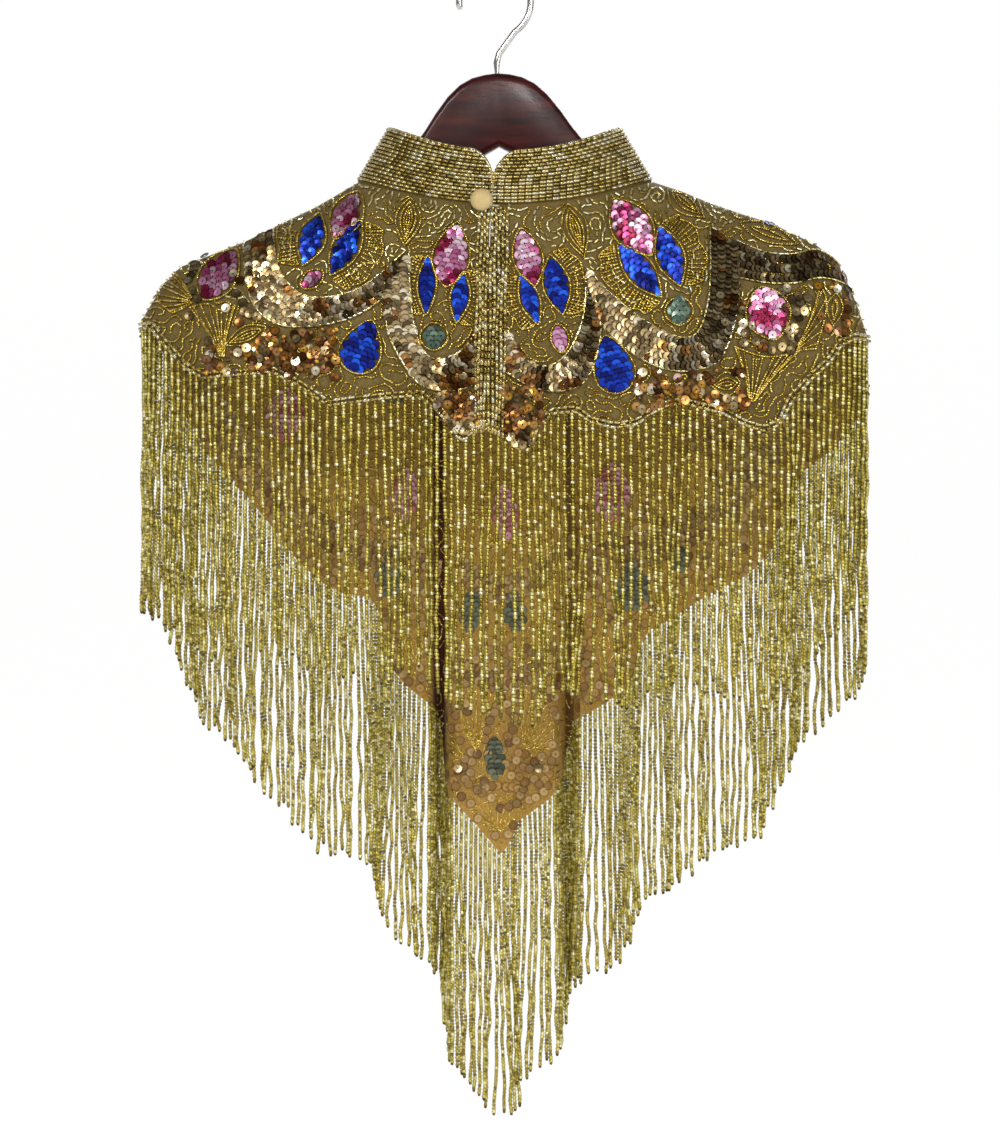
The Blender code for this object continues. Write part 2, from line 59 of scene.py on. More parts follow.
shoulder = table(
    "x z",
    (-200, -199), (-197.7, -195), (-187, -177.5), (-176, -165.5), (-167, -162),
    (-139, -151), (-121, -142), (-100, -132), (-76, -118), (88, -117.5), (105, -123),
    (122, -130), (138, -135.5), (156, -141), (169, -147.5), (180, -152.5), (191, -161),
    (198, -173), (204, -187), (210, -205),
)
hemBack = table(
    "x z",
    (-200, -202), (-191, -202), (-185, -210), (-171, -225), (-160, -231), (-122, -228),
    (-112, -233), (-102, -239), (-91, -247), (-78, -245), (-52, -242), (-41, -241),
    (-32, -249), (-22, -261), (-18, -267), (-11, -261), (-3, -259.5), (6, -263.5),
    (13, -271), (21, -269), (25, -257.5), (33, -251), (44, -250), (52, -255.5),
    (66, -259), (79, -257), (85, -252), (95, -247), (103, -245.5), (114, -248),
    (125, -250.5), (137, -257), (148, -260.5), (158, -256.5), (165, -243), (175, -232),
    (187, -221), (193, -212), (201, -208), (210, -209),
)
hemFront = table(
    "x z",
    (-200, -205), (-189, -210), (-183, -222), (-178, -245), (-170, -257), (-164, -270),
    (-153, -280), (-139, -296), (-120, -321), (-110, -333), (-99, -343), (-88, -349),
    (-71, -352), (-65, -364), (-61, -384), (-53, -400), (-40, -411), (-35, -414),
    (-30, -424), (-26, -466), (-12, -481), (4, -500), (10, -492), (14, -481),
    (34, -466), (40, -448), (45, -424), (61, -414), (75, -406), (80, -396),
    (85, -377), (90, -370), (100, -365), (118, -353), (126, -348), (140, -342),
    (150, -334), (156, -327), (163, -313), (170, -291), (176, -280), (188, -271),
    (198, -261), (206, -250), (210, -238),
)
foldsBack = table(
    "x halfWidth depth",
    (-150, 26, 5), (-92, 24, 6), (-46, 13, -6), (-28, 10, 5), (14, 12, 5),
    (32, 10, -6), (56, 12, -5), (92, 24, 6), (150, 26, 5),
)
foldsFront = table(
    "x halfWidth depth",
    (-30.5, 7.5, 15), (42.5, 8, 14), (-58, 18, 6), (-105, 24, -7), (-150, 22, 7),
    (6, 22, 5), (68, 18, 6), (112, 24, -7), (158, 20, 7),
)


def read(line, x, column="z"):
    xs, values = line["x"], line[column]
    if x <= xs[0]:
        return values[0]
    for a, b, va, vb in zip(xs, xs[1:], values, values[1:]):
        if x <= b:
            return va + (vb - va) * (x - a) / (b - a)
    return values[-1]


def softened(line, x, reach=1.5 * mm):
    return (read(line, x - reach) + 2 * read(line, x) + read(line, x + reach)) / 4


def neckPoint(angle):  # by the angle from the middle of the back round to the front
    front = math.cos(angle) < 0
    depth = form["neckFrontDepth"] if front else form["neckBackDepth"]
    drop = form["neckFrontDrop"] if front else form["neckBackDrop"]
    height = form["neckSideHeight"] - drop * abs(math.cos(angle)) ** (1.5 if front else 2.0)
    x = form["centreX"] + form["neckHalfWidth"] * math.sin(angle)
    return Vector((x, -depth * math.cos(angle), height))


def foldDepth(folds, x, drop):
    total = 0.0
    for place, half, depth in zip(folds["x"], folds["halfWidth"], folds["depth"]):
        reach = abs(x - place) / half
        if half < form["narrowFold"]:
            reach = max(0.0, (reach - form["pleatCrown"]) / (1 - form["pleatCrown"]))
        if reach < 1:
            total += depth * (0.5 + 0.5 * math.cos(math.pi * reach))
    return total * drop * drop


columnCache = {}


def panelColumn(side, x):  # what a panel's column at x hangs between; side -1 is the back
    key = (side, round(x * 1e6))
    if key not in columnCache:
        across = max(-1.0, min(1.0, (x - form["centreX"]) / form["halfWidth"]))
        atNeck = (x - form["centreX"]) / form["neckHalfWidth"]
        topDepth, topHeight, fullness = 0.0, read(shoulder, x), 0.5
        if abs(atNeck) < 1:
            angle = math.asin(atNeck)
            top = neckPoint(math.pi - angle if side > 0 else angle)
            topDepth, topHeight = abs(top.y), top.z - form["seamGap"]
            fullness = 0.5 + 0.35 * math.cos(angle) ** 2
        hemDepth = form["hemFrontDepth"] if side > 0 else form["hemBackDepth"]
        bottomDepth = hemDepth * math.sqrt(1 - across * across)
        bottomHeight = softened(hemFront if side > 0 else hemBack, x)
        topDepth = max(topDepth, form["seamGap"] / 2)
        columnCache[key] = (topDepth, topHeight, bottomDepth, bottomHeight, fullness)
    return columnCache[key]


def panelAt(side, x, drop):  # a point of the solid's outer face; drop is 0 at the top, 1 at the hem
    topDepth, topHeight, bottomDepth, bottomHeight, fullness = panelColumn(side, x)
    bulge = (1 - (1 - drop) ** 2) ** fullness
    folds = foldsFront if side > 0 else foldsBack
    depth = topDepth + (bottomDepth - topDepth) * bulge + foldDepth(folds, x, drop)
    return Vector((x, side * depth, topHeight + (bottomHeight - topHeight) * drop))


def dropOf(side, x, z):  # how far down its column a height lies
    column = panelColumn(side, x)
    return (z - column[1]) / min(column[3] - column[1], -1e-5)


def normalAt(side, x, drop):
    step = 0.8 * mm
    drop = min(max(drop, 0.004), 1)
    over = panelAt(side, x + step, drop) - panelAt(side, x - step, drop)
    down = panelAt(side, x, min(drop + 0.01, 1)) - panelAt(side, x, max(drop - 0.01, 0.001))
    return over.cross(down).normalized() * side


def onPanel(side, x, z, lift):
    # A point on a panel by its place in the flat view; lift is from the solid's outer face.
    drop = min(max(dropOf(side, x, z), 0.0), 1.0)
    normal = normalAt(side, x, drop)
    return panelAt(side, x, drop) + normal * lift, normal


def slitX(turn):
    return form["slitTop"] + (form["slitHem"] - form["slitTop"]) * turn


# Camera and light
cameraSpec = {"place": (3.4 * mm, -2.4, -334.9 * mm), "frameHeight": 636.2 * mm, "distance": 2.4}


def buildCamera():
    data = bpy.data.cameras.new("camera")
    data.sensor_fit = "VERTICAL"
    data.sensor_height = 36
    data.lens = 36 * cameraSpec["distance"] / cameraSpec["frameHeight"]
    data.clip_start, data.clip_end = 0.05, 30
    camera = bpy.data.objects.new("camera", data)
    camera.location = cameraSpec["place"]
    camera.rotation_euler = (math.pi / 2, 0, 0)
    scene.collection.objects.link(camera)
    scene.camera = camera


lightSpec = {
    "strength": 0.27, "patchScale": 2.6, "beyond": 0.93,
    "patches": ((0.36, (0.06, 0.06, 0.06)), (0.5, (0.55, 0.54, 0.52)), (0.62, (1.5, 1.46, 1.36))),
    "lamps": (
        # name, place, size, power, colour
        ("keyLamp", (-0.9, -1.7, 0.75), 0.45, 19, (1.0, 0.97, 0.91)),
        ("fillLamp", (1.4, -1.5, 0.1), 0.7, 13, (1.0, 0.98, 0.94)),
        ("backLamp", (0.5, 1.5, 0.7), 0.7, 8, (1.0, 0.99, 0.97)),
        ("sparkLamp", (0.15, -2.2, 0.5), 0.16, 8, (1.0, 1.0, 0.98)),
    ),
}


def buildLight():
    world = bpy.data.worlds.new("studioWorld")
    scene.world = world
    world.use_nodes = True
    nodes, links = world.node_tree.nodes, world.node_tree.links
    background = nodes["Background"]
    coordinates = nodes.new("ShaderNodeTexCoord")
    patches = nodes.new("ShaderNodeTexNoise")
    patches.inputs["Scale"].default_value = lightSpec["patchScale"]
    patches.inputs["Detail"].default_value = 1.0
    links.new(coordinates.outputs["Generated"], patches.inputs["Vector"])
    ramp = colorRamp(nodes, lightSpec["patches"])
    links.new(patches.outputs["Fac"], ramp.inputs["Fac"])
    links.new(ramp.outputs["Color"], background.inputs["Color"])
    background.inputs["Strength"].default_value = lightSpec["strength"]
    plain = nodes.new("ShaderNodeBackground")
    plain.inputs["Color"].default_value = (1, 1, 1, 1)
    plain.inputs["Strength"].default_value = lightSpec["beyond"]
    seen = nodes.new("ShaderNodeLightPath")
    choose = nodes.new("ShaderNodeMixShader")
    links.new(seen.outputs["Is Camera Ray"], choose.inputs["Fac"])
    links.new(background.outputs["Background"], choose.inputs[1])
    links.new(plain.outputs["Background"], choose.inputs[2])
    links.new(choose.outputs["Shader"], nodes["World Output"].inputs["Surface"])
    aim = Vector((0.0, 0.0, -0.3))
    for name, place, size, power, color in lightSpec["lamps"]:
        data = bpy.data.lights.new(name, "AREA")
        data.size, data.energy, data.color = size, power, color
        lamp = bpy.data.objects.new(name, data)
        lamp.location = place
        lamp.rotation_euler = (aim - Vector(place)).to_track_quat("-Z", "Y").to_euler()
        scene.collection.objects.link(lamp)
    scene.view_settings.view_transform = "Standard"


# Materials
def newMaterial(name):
    material = bpy.data.materials.new(name)
    material.use_nodes = True
    nodes, links = material.node_tree.nodes, material.node_tree.links
    return material, nodes, links, nodes["Principled BSDF"]


def setShader(shader, **values):
    names = {"rough": "Roughness", "metal": "Metallic", "coat": "Coat Weight",
             "coatRough": "Coat Roughness", "sheen": "Sheen Weight", "ior": "IOR",
             "alpha": "Alpha", "specular": "Specular IOR Level", "sheenRough": "Sheen Roughness"}
    for key, value in values.items():
        shader.inputs[names[key]].default_value = value


def colorRamp(nodes, stops):
    ramp = nodes.new("ShaderNodeValToRGB")
    elements = ramp.color_ramp.elements
    while len(elements) < len(stops):
        elements.new(0.5)
    for element, (place, color) in zip(elements, stops):
        element.position = place
        element.color = (*color, 1)
    return ramp


def objectNoise(nodes, links, scale, detail=2.0, stretch=(1, 1, 1)):
    coordinates = nodes.new("ShaderNodeTexCoord")
    mapping = nodes.new("ShaderNodeMapping")
    mapping.inputs["Scale"].default_value = stretch
    texture = nodes.new("ShaderNodeTexNoise")
    texture.inputs["Scale"].default_value = scale
    texture.inputs["Detail"].default_value = detail
    links.new(coordinates.outputs["Object"], mapping.inputs["Vector"])
    links.new(mapping.outputs["Vector"], texture.inputs["Vector"])
    return texture


def beadMaterial(name, stops, rough=0.16, metal=0.75, coat=0.1, roughSpread=0.12, rimShadeStart=0.45,
                 edge=(0.30, 0.22, 0.12)):
    # Lined glass: each bead's random value runs along the stops, partly its own tint and partly painted sparkle
    # with painted glints at the pale end, and thread marks dull it here and there.
    material, nodes, links, shader = newMaterial(name)
    tint = nodes.new("ShaderNodeAttribute")
    tint.attribute_name = "tint"
    ramp = colorRamp(nodes, stops)
    links.new(tint.outputs["Fac"], ramp.inputs["Fac"])
    grain = objectNoise(nodes, links, 900, 1.0)
    shade = nodes.new("ShaderNodeMix")
    shade.data_type = "RGBA"
    shade.blend_type = "MULTIPLY"
    shade.inputs["Factor"].default_value = 0.2
    links.new(ramp.outputs["Color"], shade.inputs["A"])
    links.new(grain.outputs["Fac"], shade.inputs["B"])
    # Painted shade: the colour falls to the edge colour towards each bead's ends and each sequin's rim, where it
    # meets or overlaps its neighbours.
    rim = nodes.new("ShaderNodeAttribute")
    rim.attribute_name = "rim"
    border = colorRamp(nodes, ((0.0, (1, 1, 1)), (rimShadeStart, (1, 1, 1)), (1.0, edge)))
    links.new(rim.outputs["Fac"], border.inputs["Fac"])
    outline = nodes.new("ShaderNodeMix")
    outline.data_type = "RGBA"
    outline.blend_type = "MULTIPLY"
    outline.inputs["Factor"].default_value = 1.0
    links.new(shade.outputs["Result"], outline.inputs["A"])
    links.new(border.outputs["Color"], outline.inputs["B"])
    links.new(outline.outputs["Result"], shader.inputs["Base Color"])
    spread = nodes.new("ShaderNodeMapRange")
    spread.inputs["To Min"].default_value = rough
    spread.inputs["To Max"].default_value = rough + roughSpread
    links.new(grain.outputs["Fac"], spread.inputs["Value"])
    links.new(spread.outputs["Result"], shader.inputs["Roughness"])
    setShader(shader, metal=metal, coat=coat, coatRough=0.06)
    return material


materials = {}


def buildMaterials():
    # Each look's stops spread the beads at random from dark to bright, partly their own tone and partly painted
    # sparkle; the palest stops are painted glints, and the edge colours are painted shade where beads meet and
    # sequins overlap.
    materials["fringe"] = beadMaterial("fringeGlass", (
        (0.0, (0.20, 0.15, 0.01)), (0.35, (0.47, 0.37, 0.045)), (0.8, (0.74, 0.64, 0.13)),
        (1.0, (1.0, 0.96, 0.58))), metal=0.65, rimShadeStart=0.6, edge=(0.42, 0.34, 0.20))
    materials["tip"] = beadMaterial("tipGlass", ((0.0, (0.07, 0.05, 0.01)), (1.0, (0.20, 0.15, 0.04))))
    materials["seed"] = beadMaterial("seedGlass", (
        (0.0, (0.34, 0.20, 0.008)), (0.5, (0.60, 0.41, 0.04)), (1.0, (0.92, 0.74, 0.22))),
        rimShadeStart=0.6, edge=(0.42, 0.30, 0.14))
    materials["bugle"] = beadMaterial("bugleGlass", (
        (0.0, (0.34, 0.26, 0.05)), (0.4, (0.84, 0.69, 0.24)), (0.75, (1.0, 0.91, 0.45)),
        (1.0, (1.0, 0.99, 0.78))), rough=0.18, metal=0.75, rimShadeStart=0.82)
    materials["bronze"] = beadMaterial("bronzeSequin", (
        (0.0, (0.09, 0.06, 0.025)), (0.4, (0.29, 0.215, 0.105)), (0.8, (0.56, 0.43, 0.23)),
        (1.0, (1.0, 0.93, 0.74))), rough=0.22, metal=0.95, rimShadeStart=0.7)
    materials["brown"] = beadMaterial("brownSequin", (
        (0.0, (0.04, 0.013, 0.003)), (0.6, (0.24, 0.09, 0.015)), (1.0, (0.60, 0.31, 0.08))),
        rough=0.18, metal=0.8, rimShadeStart=0.74)
    materials["pink"] = beadMaterial("pinkSequin", (
        (0.0, (0.40, 0.06, 0.20)), (0.3, (0.58, 0.22, 0.40)), (0.7, (0.72, 0.40, 0.60)),
        (1.0, (0.95, 0.74, 0.88))), rough=0.2, rimShadeStart=0.74)
    materials["red"] = beadMaterial("redSequin", (
        (0.0, (0.10, 0.0, 0.015)), (0.6, (0.28, 0.008, 0.06)), (1.0, (0.50, 0.06, 0.22))),
        rough=0.2, rimShadeStart=0.74)
    materials["blue"] = beadMaterial("blueSequin", (
        (0.0, (0.001, 0.004, 0.12)), (0.6, (0.004, 0.03, 0.42)), (1.0, (0.02, 0.14, 0.95))),
        rough=0.26, metal=0.8, coat=0.05, rimShadeStart=0.74, edge=(0.25, 0.2, 0.3))
    materials["green"] = beadMaterial("greenSequin", (
        (0.0, (0.02, 0.045, 0.035)), (0.6, (0.085, 0.14, 0.105)), (1.0, (0.24, 0.34, 0.27))),
        rough=0.22, metal=0.7, rimShadeStart=0.74)
    materials["amber"] = beadMaterial("amberGlass", (
        (0.0, (0.09, 0.025, 0.002)), (0.6, (0.34, 0.14, 0.01)), (1.0, (0.80, 0.44, 0.04))),
        rough=0.08, metal=0.5, coat=0.6)
    # Sequins as they look through the net, on the front's inside
    for kind, dark, light in (("bronze", (0.24, 0.14, 0.04), (0.58, 0.38, 0.14)),
                              ("brown", (0.17, 0.08, 0.015), (0.50, 0.28, 0.07)),
                              ("pink", (0.48, 0.18, 0.20), (0.85, 0.44, 0.50)),
                              ("red", (0.34, 0.06, 0.07), (0.60, 0.17, 0.20)),
                              ("blue", (0.035, 0.045, 0.05), (0.10, 0.12, 0.12)),
                              ("green", (0.05, 0.065, 0.035), (0.17, 0.20, 0.13))):
        materials[kind + "Back"] = beadMaterial(
            kind + "SequinBack", ((0.0, dark), (1.0, light)), rough=0.4, metal=0.4, rimShadeStart=0.66)
    materials["net"] = netMaterial("netCloth", (0.195, 0.137, 0.042), 0.95)
    # folds=True paints shade down the two deep folds on the front's inside
    materials["netFront"] = netMaterial("netClothFront", (0.46, 0.27, 0.06), 1.0, folds=True)
    materials["band"] = netMaterial("collarCloth", (0.14, 0.095, 0.02), 1.0)
    materials["button"] = satinMaterial()
    materials["cord"] = satinMaterial("loopThread", (0.50, 0.44, 0.27))
    materials["wood"] = woodMaterial()
    materials["wire"] = wireMaterial()


def netMaterial(name, color, alpha, folds=False):
    # Fine net: a close grain of threads for colour and bump, and with folds, painted shade in the deep folds.
    material, nodes, links, shader = newMaterial(name)
    cells = objectNoise(nodes, links, 1300, 1.0)
    threads = colorRamp(nodes, ((0.35, [c * 0.7 for c in color]), (0.65, [min(1, c * 1.25) for c in color])))
    links.new(cells.outputs["Fac"], threads.inputs["Fac"])
    patches = objectNoise(nodes, links, 26, 3.0)
    shade = nodes.new("ShaderNodeMix")
    shade.data_type = "RGBA"
    shade.blend_type = "MULTIPLY"
    shade.inputs["Factor"].default_value = 0.4
    links.new(threads.outputs["Color"], shade.inputs["A"])
    links.new(patches.outputs["Fac"], shade.inputs["B"])
    result = shade.outputs["Result"]
    if folds:
        result = foldShade(nodes, links, result)
    links.new(result, shader.inputs["Base Color"])
    bump = nodes.new("ShaderNodeBump")
    bump.inputs["Strength"].default_value = 0.3
    bump.inputs["Distance"].default_value = 0.0002
    links.new(cells.outputs["Fac"], bump.inputs["Height"])
    links.new(bump.outputs["Normal"], shader.inputs["Normal"])
    setShader(shader, rough=0.8, sheen=0.12, sheenRough=0.4, specular=0.2, alpha=alpha)
    return material


def foldShade(nodes, links, result):
    # Painted shade: dark red-brown lines down the two deep folds beside the tab, standing for the shadow inside
    # them.
    coordinates = nodes.new("ShaderNodeTexCoord")
    axes = nodes.new("ShaderNodeSeparateXYZ")
    links.new(coordinates.outputs["Object"], axes.inputs["Vector"])
    for place, reach, most in ((foldsFront["x"][0] - 1.0 * mm, 4.6 * mm, 1.0),
                               (foldsFront["x"][1] + 1 * mm, 3.2 * mm, 0.75)):
        away = nodes.new("ShaderNodeMath")
        away.operation = "SUBTRACT"
        away.inputs[1].default_value = place
        links.new(axes.outputs["X"], away.inputs[0])
        distance = nodes.new("ShaderNodeMath")
        distance.operation = "ABSOLUTE"
        links.new(away.outputs["Value"], distance.inputs[0])
        spread = nodes.new("ShaderNodeMapRange")
        spread.inputs["From Min"].default_value = reach * 0.6
        spread.inputs["From Max"].default_value = reach
        spread.inputs["To Min"].default_value = most
        spread.inputs["To Max"].default_value = 0.0
        links.new(distance.outputs["Value"], spread.inputs["Value"])
        shade = nodes.new("ShaderNodeMix")
        shade.data_type = "RGBA"
        shade.inputs["B"].default_value = (0.05, 0.012, 0.008, 1)
        links.new(spread.outputs["Result"], shade.inputs["Factor"])
        links.new(result, shade.inputs["A"])
        result = shade.outputs["Result"]
    return result


def satinMaterial(name="buttonSatin", color=(0.56, 0.42, 0.18)):
    material, nodes, links, shader = newMaterial(name)
    weave = objectNoise(nodes, links, 1400, 2.0, (1, 1, 5))
    ramp = colorRamp(nodes, ((0.3, [c * 0.72 for c in color]), (0.7, [min(1, c * 1.18) for c in color])))
    links.new(weave.outputs["Fac"], ramp.inputs["Fac"])
    links.new(ramp.outputs["Color"], shader.inputs["Base Color"])
    bump = nodes.new("ShaderNodeBump")
    bump.inputs["Strength"].default_value = 0.25
    bump.inputs["Distance"].default_value = 0.0001
    links.new(weave.outputs["Fac"], bump.inputs["Height"])
    links.new(bump.outputs["Normal"], shader.inputs["Normal"])
    setShader(shader, rough=0.45, sheen=0.5, sheenRough=0.35)
    return material


def woodMaterial():
    # Dark red-brown lacquer over long grain, with hairline scratches in its gloss.
    material, nodes, links, shader = newMaterial("lacquerWood")
    grain = objectNoise(nodes, links, 26, 5.0, (1, 9, 9))
    ramp = colorRamp(nodes, ((0.3, (0.014, 0.0015, 0.0015)), (0.55, (0.045, 0.005, 0.0045)), (0.8, (0.085, 0.012, 0.010))))
    links.new(grain.outputs["Fac"], ramp.inputs["Fac"])
    links.new(ramp.outputs["Color"], shader.inputs["Base Color"])
    scratches = objectNoise(nodes, links, 120, 4.0, (1, 1, 14))
    spread = nodes.new("ShaderNodeMapRange")
    spread.inputs["From Min"].default_value = 0.55
    spread.inputs["From Max"].default_value = 0.75
    spread.inputs["To Min"].default_value = 0.3
    spread.inputs["To Max"].default_value = 0.55
    links.new(scratches.outputs["Fac"], spread.inputs["Value"])
    links.new(spread.outputs["Result"], shader.inputs["Roughness"])
    setShader(shader, coat=0.05, coatRough=0.12, specular=0.25)
    return material


def wireMaterial():
    material, nodes, links, shader = newMaterial("platedWire")
    marks = objectNoise(nodes, links, 260, 3.0, (1, 1, 0.3))
    ramp = colorRamp(nodes, ((0.3, (0.50, 0.49, 0.47)), (0.7, (0.72, 0.71, 0.69))))
    links.new(marks.outputs["Fac"], ramp.inputs["Fac"])
    links.new(ramp.outputs["Color"], shader.inputs["Base Color"])
    setShader(shader, metal=1.0, rough=0.22)
    return material


# Mesh helpers
def meshObject(name, points, faces, edges=(), smooth=True):
    mesh = bpy.data.meshes.new(name)
    mesh.from_pydata([tuple(p) for p in points], list(edges), list(faces))
    mesh.update()
    if smooth and faces:
        mesh.shade_smooth()
    obj = bpy.data.objects.new(name, mesh)
    scene.collection.objects.link(obj)
    return obj


def finishPiece(obj, material=None, replaced=()):
    if material is not None:
        obj.data.materials.clear()
        obj.data.materials.append(material)
    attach(obj, "root")
    if replaced:
        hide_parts(*replaced)
    return obj


def shellOf(name, outer, thick, normals):
    # A thin closed wall from a grid of outer points.
    rows, columns = len(outer), len(outer[0])
    points = [p for row in outer for p in row]
    points += [p - n * thick for row, ups in zip(outer, normals) for p, n in zip(row, ups)]
    under = rows * columns
    faces = []
    for r in range(rows - 1):
        for c in range(columns - 1):
            a, b = r * columns + c, r * columns + c + 1
            faces.append((a, b, b + columns, a + columns))
            faces.append((under + a + columns, under + b + columns, under + b, under + a))
    rim = [c for c in range(columns)] + [r * columns + columns - 1 for r in range(1, rows)]
    rim += [(rows - 1) * columns + c for c in range(columns - 2, -1, -1)]
    rim += [r * columns for r in range(rows - 2, 0, -1)]
    for here, there in zip(rim, rim[1:] + rim[:1]):
        faces.append((there, here, under + here, under + there))
    obj = meshObject(name, points, faces)
    work = bmesh.new()
    work.from_mesh(obj.data)
    bmesh.ops.recalc_face_normals(work, faces=work.faces)
    work.to_mesh(obj.data)
    work.free()
    obj.data.shade_smooth()
    obj.data.set_sharp_from_angle(angle=math.radians(50))
    return obj


# Beads and sequins: instances along paths or on points, by Geometry Nodes
def addRimShade(mesh, values):
    # How near each point is to the shape's edge, where painted shade darkens the glass.
    layer = mesh.attributes.new("rim", "FLOAT", "POINT")
    layer.data.foreach_set("value", values)


def beadMesh(name, sides, rings, caps=False):
    # A small turned shape along X; rings are (place along, radius).
    points, faces = [], []
    for along, radius in rings:
        for i in range(sides):
            turn = 2 * math.pi * i / sides
            points.append((along, radius * math.cos(turn), radius * math.sin(turn)))
    for r in range(len(rings) - 1):
        for i in range(sides):
            j = (i + 1) % sides
            faces.append((r * sides + i, r * sides + j, (r + 1) * sides + j, (r + 1) * sides + i))
    if caps:
        faces.append(tuple(range(sides))[::-1])
        faces.append(tuple((len(rings) - 1) * sides + i for i in range(sides)))
    mesh = bpy.data.meshes.new(name)
    mesh.from_pydata(points, [], faces)
    mesh.update()
    mesh.flip_normals()
    mesh.shade_smooth()
    half = max(abs(along) for along, radius in rings)
    addRimShade(mesh, [abs(along) / half for along, radius in rings for _ in range(sides)])
    obj = bpy.data.objects.new(name, mesh)
    scene.collection.objects.link(obj)
    return obj


def sequinMesh(name, radius, sides=10, cup=0.07):
    # A cupped disc with a small centre hole, lying in XY and hollow towards +Z.
    points, faces = [], []
    for part, height in ((1.0, cup), (0.18, 0.0)):
        for i in range(sides):
            turn = 2 * math.pi * i / sides
            points.append((radius * part * math.cos(turn), radius * part * math.sin(turn), radius * height))
    for i in range(sides):
        j = (i + 1) % sides
        faces.append((i, j, sides + j, sides + i))
    mesh = bpy.data.meshes.new(name)
    mesh.from_pydata(points, [], faces)
    mesh.update()
    mesh.shade_smooth()
    addRimShade(mesh, [1.0] * sides + [0.0] * sides)
    obj = bpy.data.objects.new(name, mesh)
    scene.collection.objects.link(obj)
    return obj


def addInput(tree, name, kind, value=None):
    socket = tree.interface.new_socket(name, in_out="INPUT", socket_type=kind)
    if value is not None:
        socket.default_value = value
    return socket


def finishTree(tree, geometry, group, endNode):
    # Realized instances, each with a random value for its tint and painted sparkle, and the bead's material.
    nodes, links = tree.nodes, tree.links
    tint = nodes.new("FunctionNodeRandomValue")
    tint.data_type = "FLOAT"
    links.new(group.outputs["Seed"], tint.inputs["Seed"])
    store = nodes.new("GeometryNodeStoreNamedAttribute")
    store.data_type = "FLOAT"
    store.domain = "INSTANCE"
    store.inputs["Name"].default_value = "tint"
    links.new(geometry, store.inputs["Geometry"])
    links.new(tint.outputs[1], store.inputs["Value"])
    realize = nodes.new("GeometryNodeRealizeInstances")
    links.new(store.outputs["Geometry"], realize.inputs["Geometry"])
    paint = nodes.new("GeometryNodeSetMaterial")
    links.new(realize.outputs["Geometry"], paint.inputs["Geometry"])
    links.new(group.outputs["Material"], paint.inputs["Material"])
    links.new(paint.outputs["Geometry"], endNode.inputs[0])


def randomVector(nodes, links, low, high, seedOutput):
    node = nodes.new("FunctionNodeRandomValue")
    node.data_type = "FLOAT_VECTOR"
    node.inputs[0].default_value = low
    node.inputs[1].default_value = high
    links.new(seedOutput, node.inputs["Seed"])
    return node.outputs[0]


def pathTree():
    # Beads threaded along paths: the paths are a mesh of edges.
    tree = bpy.data.node_groups.new("threadBeads", "GeometryNodeTree")
    tree.interface.new_socket("Geometry", in_out="INPUT", socket_type="NodeSocketGeometry")
    tree.interface.new_socket("Geometry", in_out="OUTPUT", socket_type="NodeSocketGeometry")
    addInput(tree, "Pitch", "NodeSocketFloat", 0.002)
    addInput(tree, "Wobble", "NodeSocketFloat", 0.1)
    addInput(tree, "Bead", "NodeSocketObject")
    addInput(tree, "Material", "NodeSocketMaterial")
    addInput(tree, "Seed", "NodeSocketInt", 1)
    nodes, links = tree.nodes, tree.links
    group, end = nodes.new("NodeGroupInput"), nodes.new("NodeGroupOutput")
    curve = nodes.new("GeometryNodeMeshToCurve")
    links.new(group.outputs["Geometry"], curve.inputs["Mesh"])
    resample = nodes.new("GeometryNodeResampleCurve")
    resample.mode = "LENGTH"
    links.new(curve.outputs["Curve"], resample.inputs["Curve"])
    links.new(group.outputs["Pitch"], resample.inputs["Length"])
    bead = nodes.new("GeometryNodeObjectInfo")
    links.new(group.outputs["Bead"], bead.inputs["Object"])
    tangent = nodes.new("GeometryNodeInputTangent")
    align = nodes.new("FunctionNodeAlignRotationToVector")
    align.axis = "X"
    links.new(tangent.outputs[0], align.inputs["Vector"])
    sway = randomVector(nodes, links, (-1, -1, -1), (1, 1, 1), group.outputs["Seed"])
    scaleSway = nodes.new("ShaderNodeVectorMath")
    scaleSway.operation = "SCALE"
    links.new(sway, scaleSway.inputs[0])
    links.new(group.outputs["Wobble"], scaleSway.inputs["Scale"])
    turn = nodes.new("FunctionNodeEulerToRotation")
    links.new(scaleSway.outputs[0], turn.inputs[0])
    rotate = nodes.new("FunctionNodeRotateRotation")
    rotate.rotation_space = "LOCAL"
    links.new(align.outputs[0], rotate.inputs[0])
    links.new(turn.outputs[0], rotate.inputs[1])
    size = nodes.new("FunctionNodeRandomValue")
    size.data_type = "FLOAT"
    size.inputs[2].default_value = 0.9
    size.inputs[3].default_value = 1.08
    links.new(group.outputs["Seed"], size.inputs["Seed"])
    place = nodes.new("GeometryNodeInstanceOnPoints")
    links.new(resample.outputs["Curve"], place.inputs["Points"])
    links.new(bead.outputs["Geometry"], place.inputs["Instance"])
    links.new(rotate.outputs[0], place.inputs["Rotation"])
    links.new(size.outputs[1], place.inputs["Scale"])
    finishTree(tree, place.outputs["Instances"], group, end)
    return tree


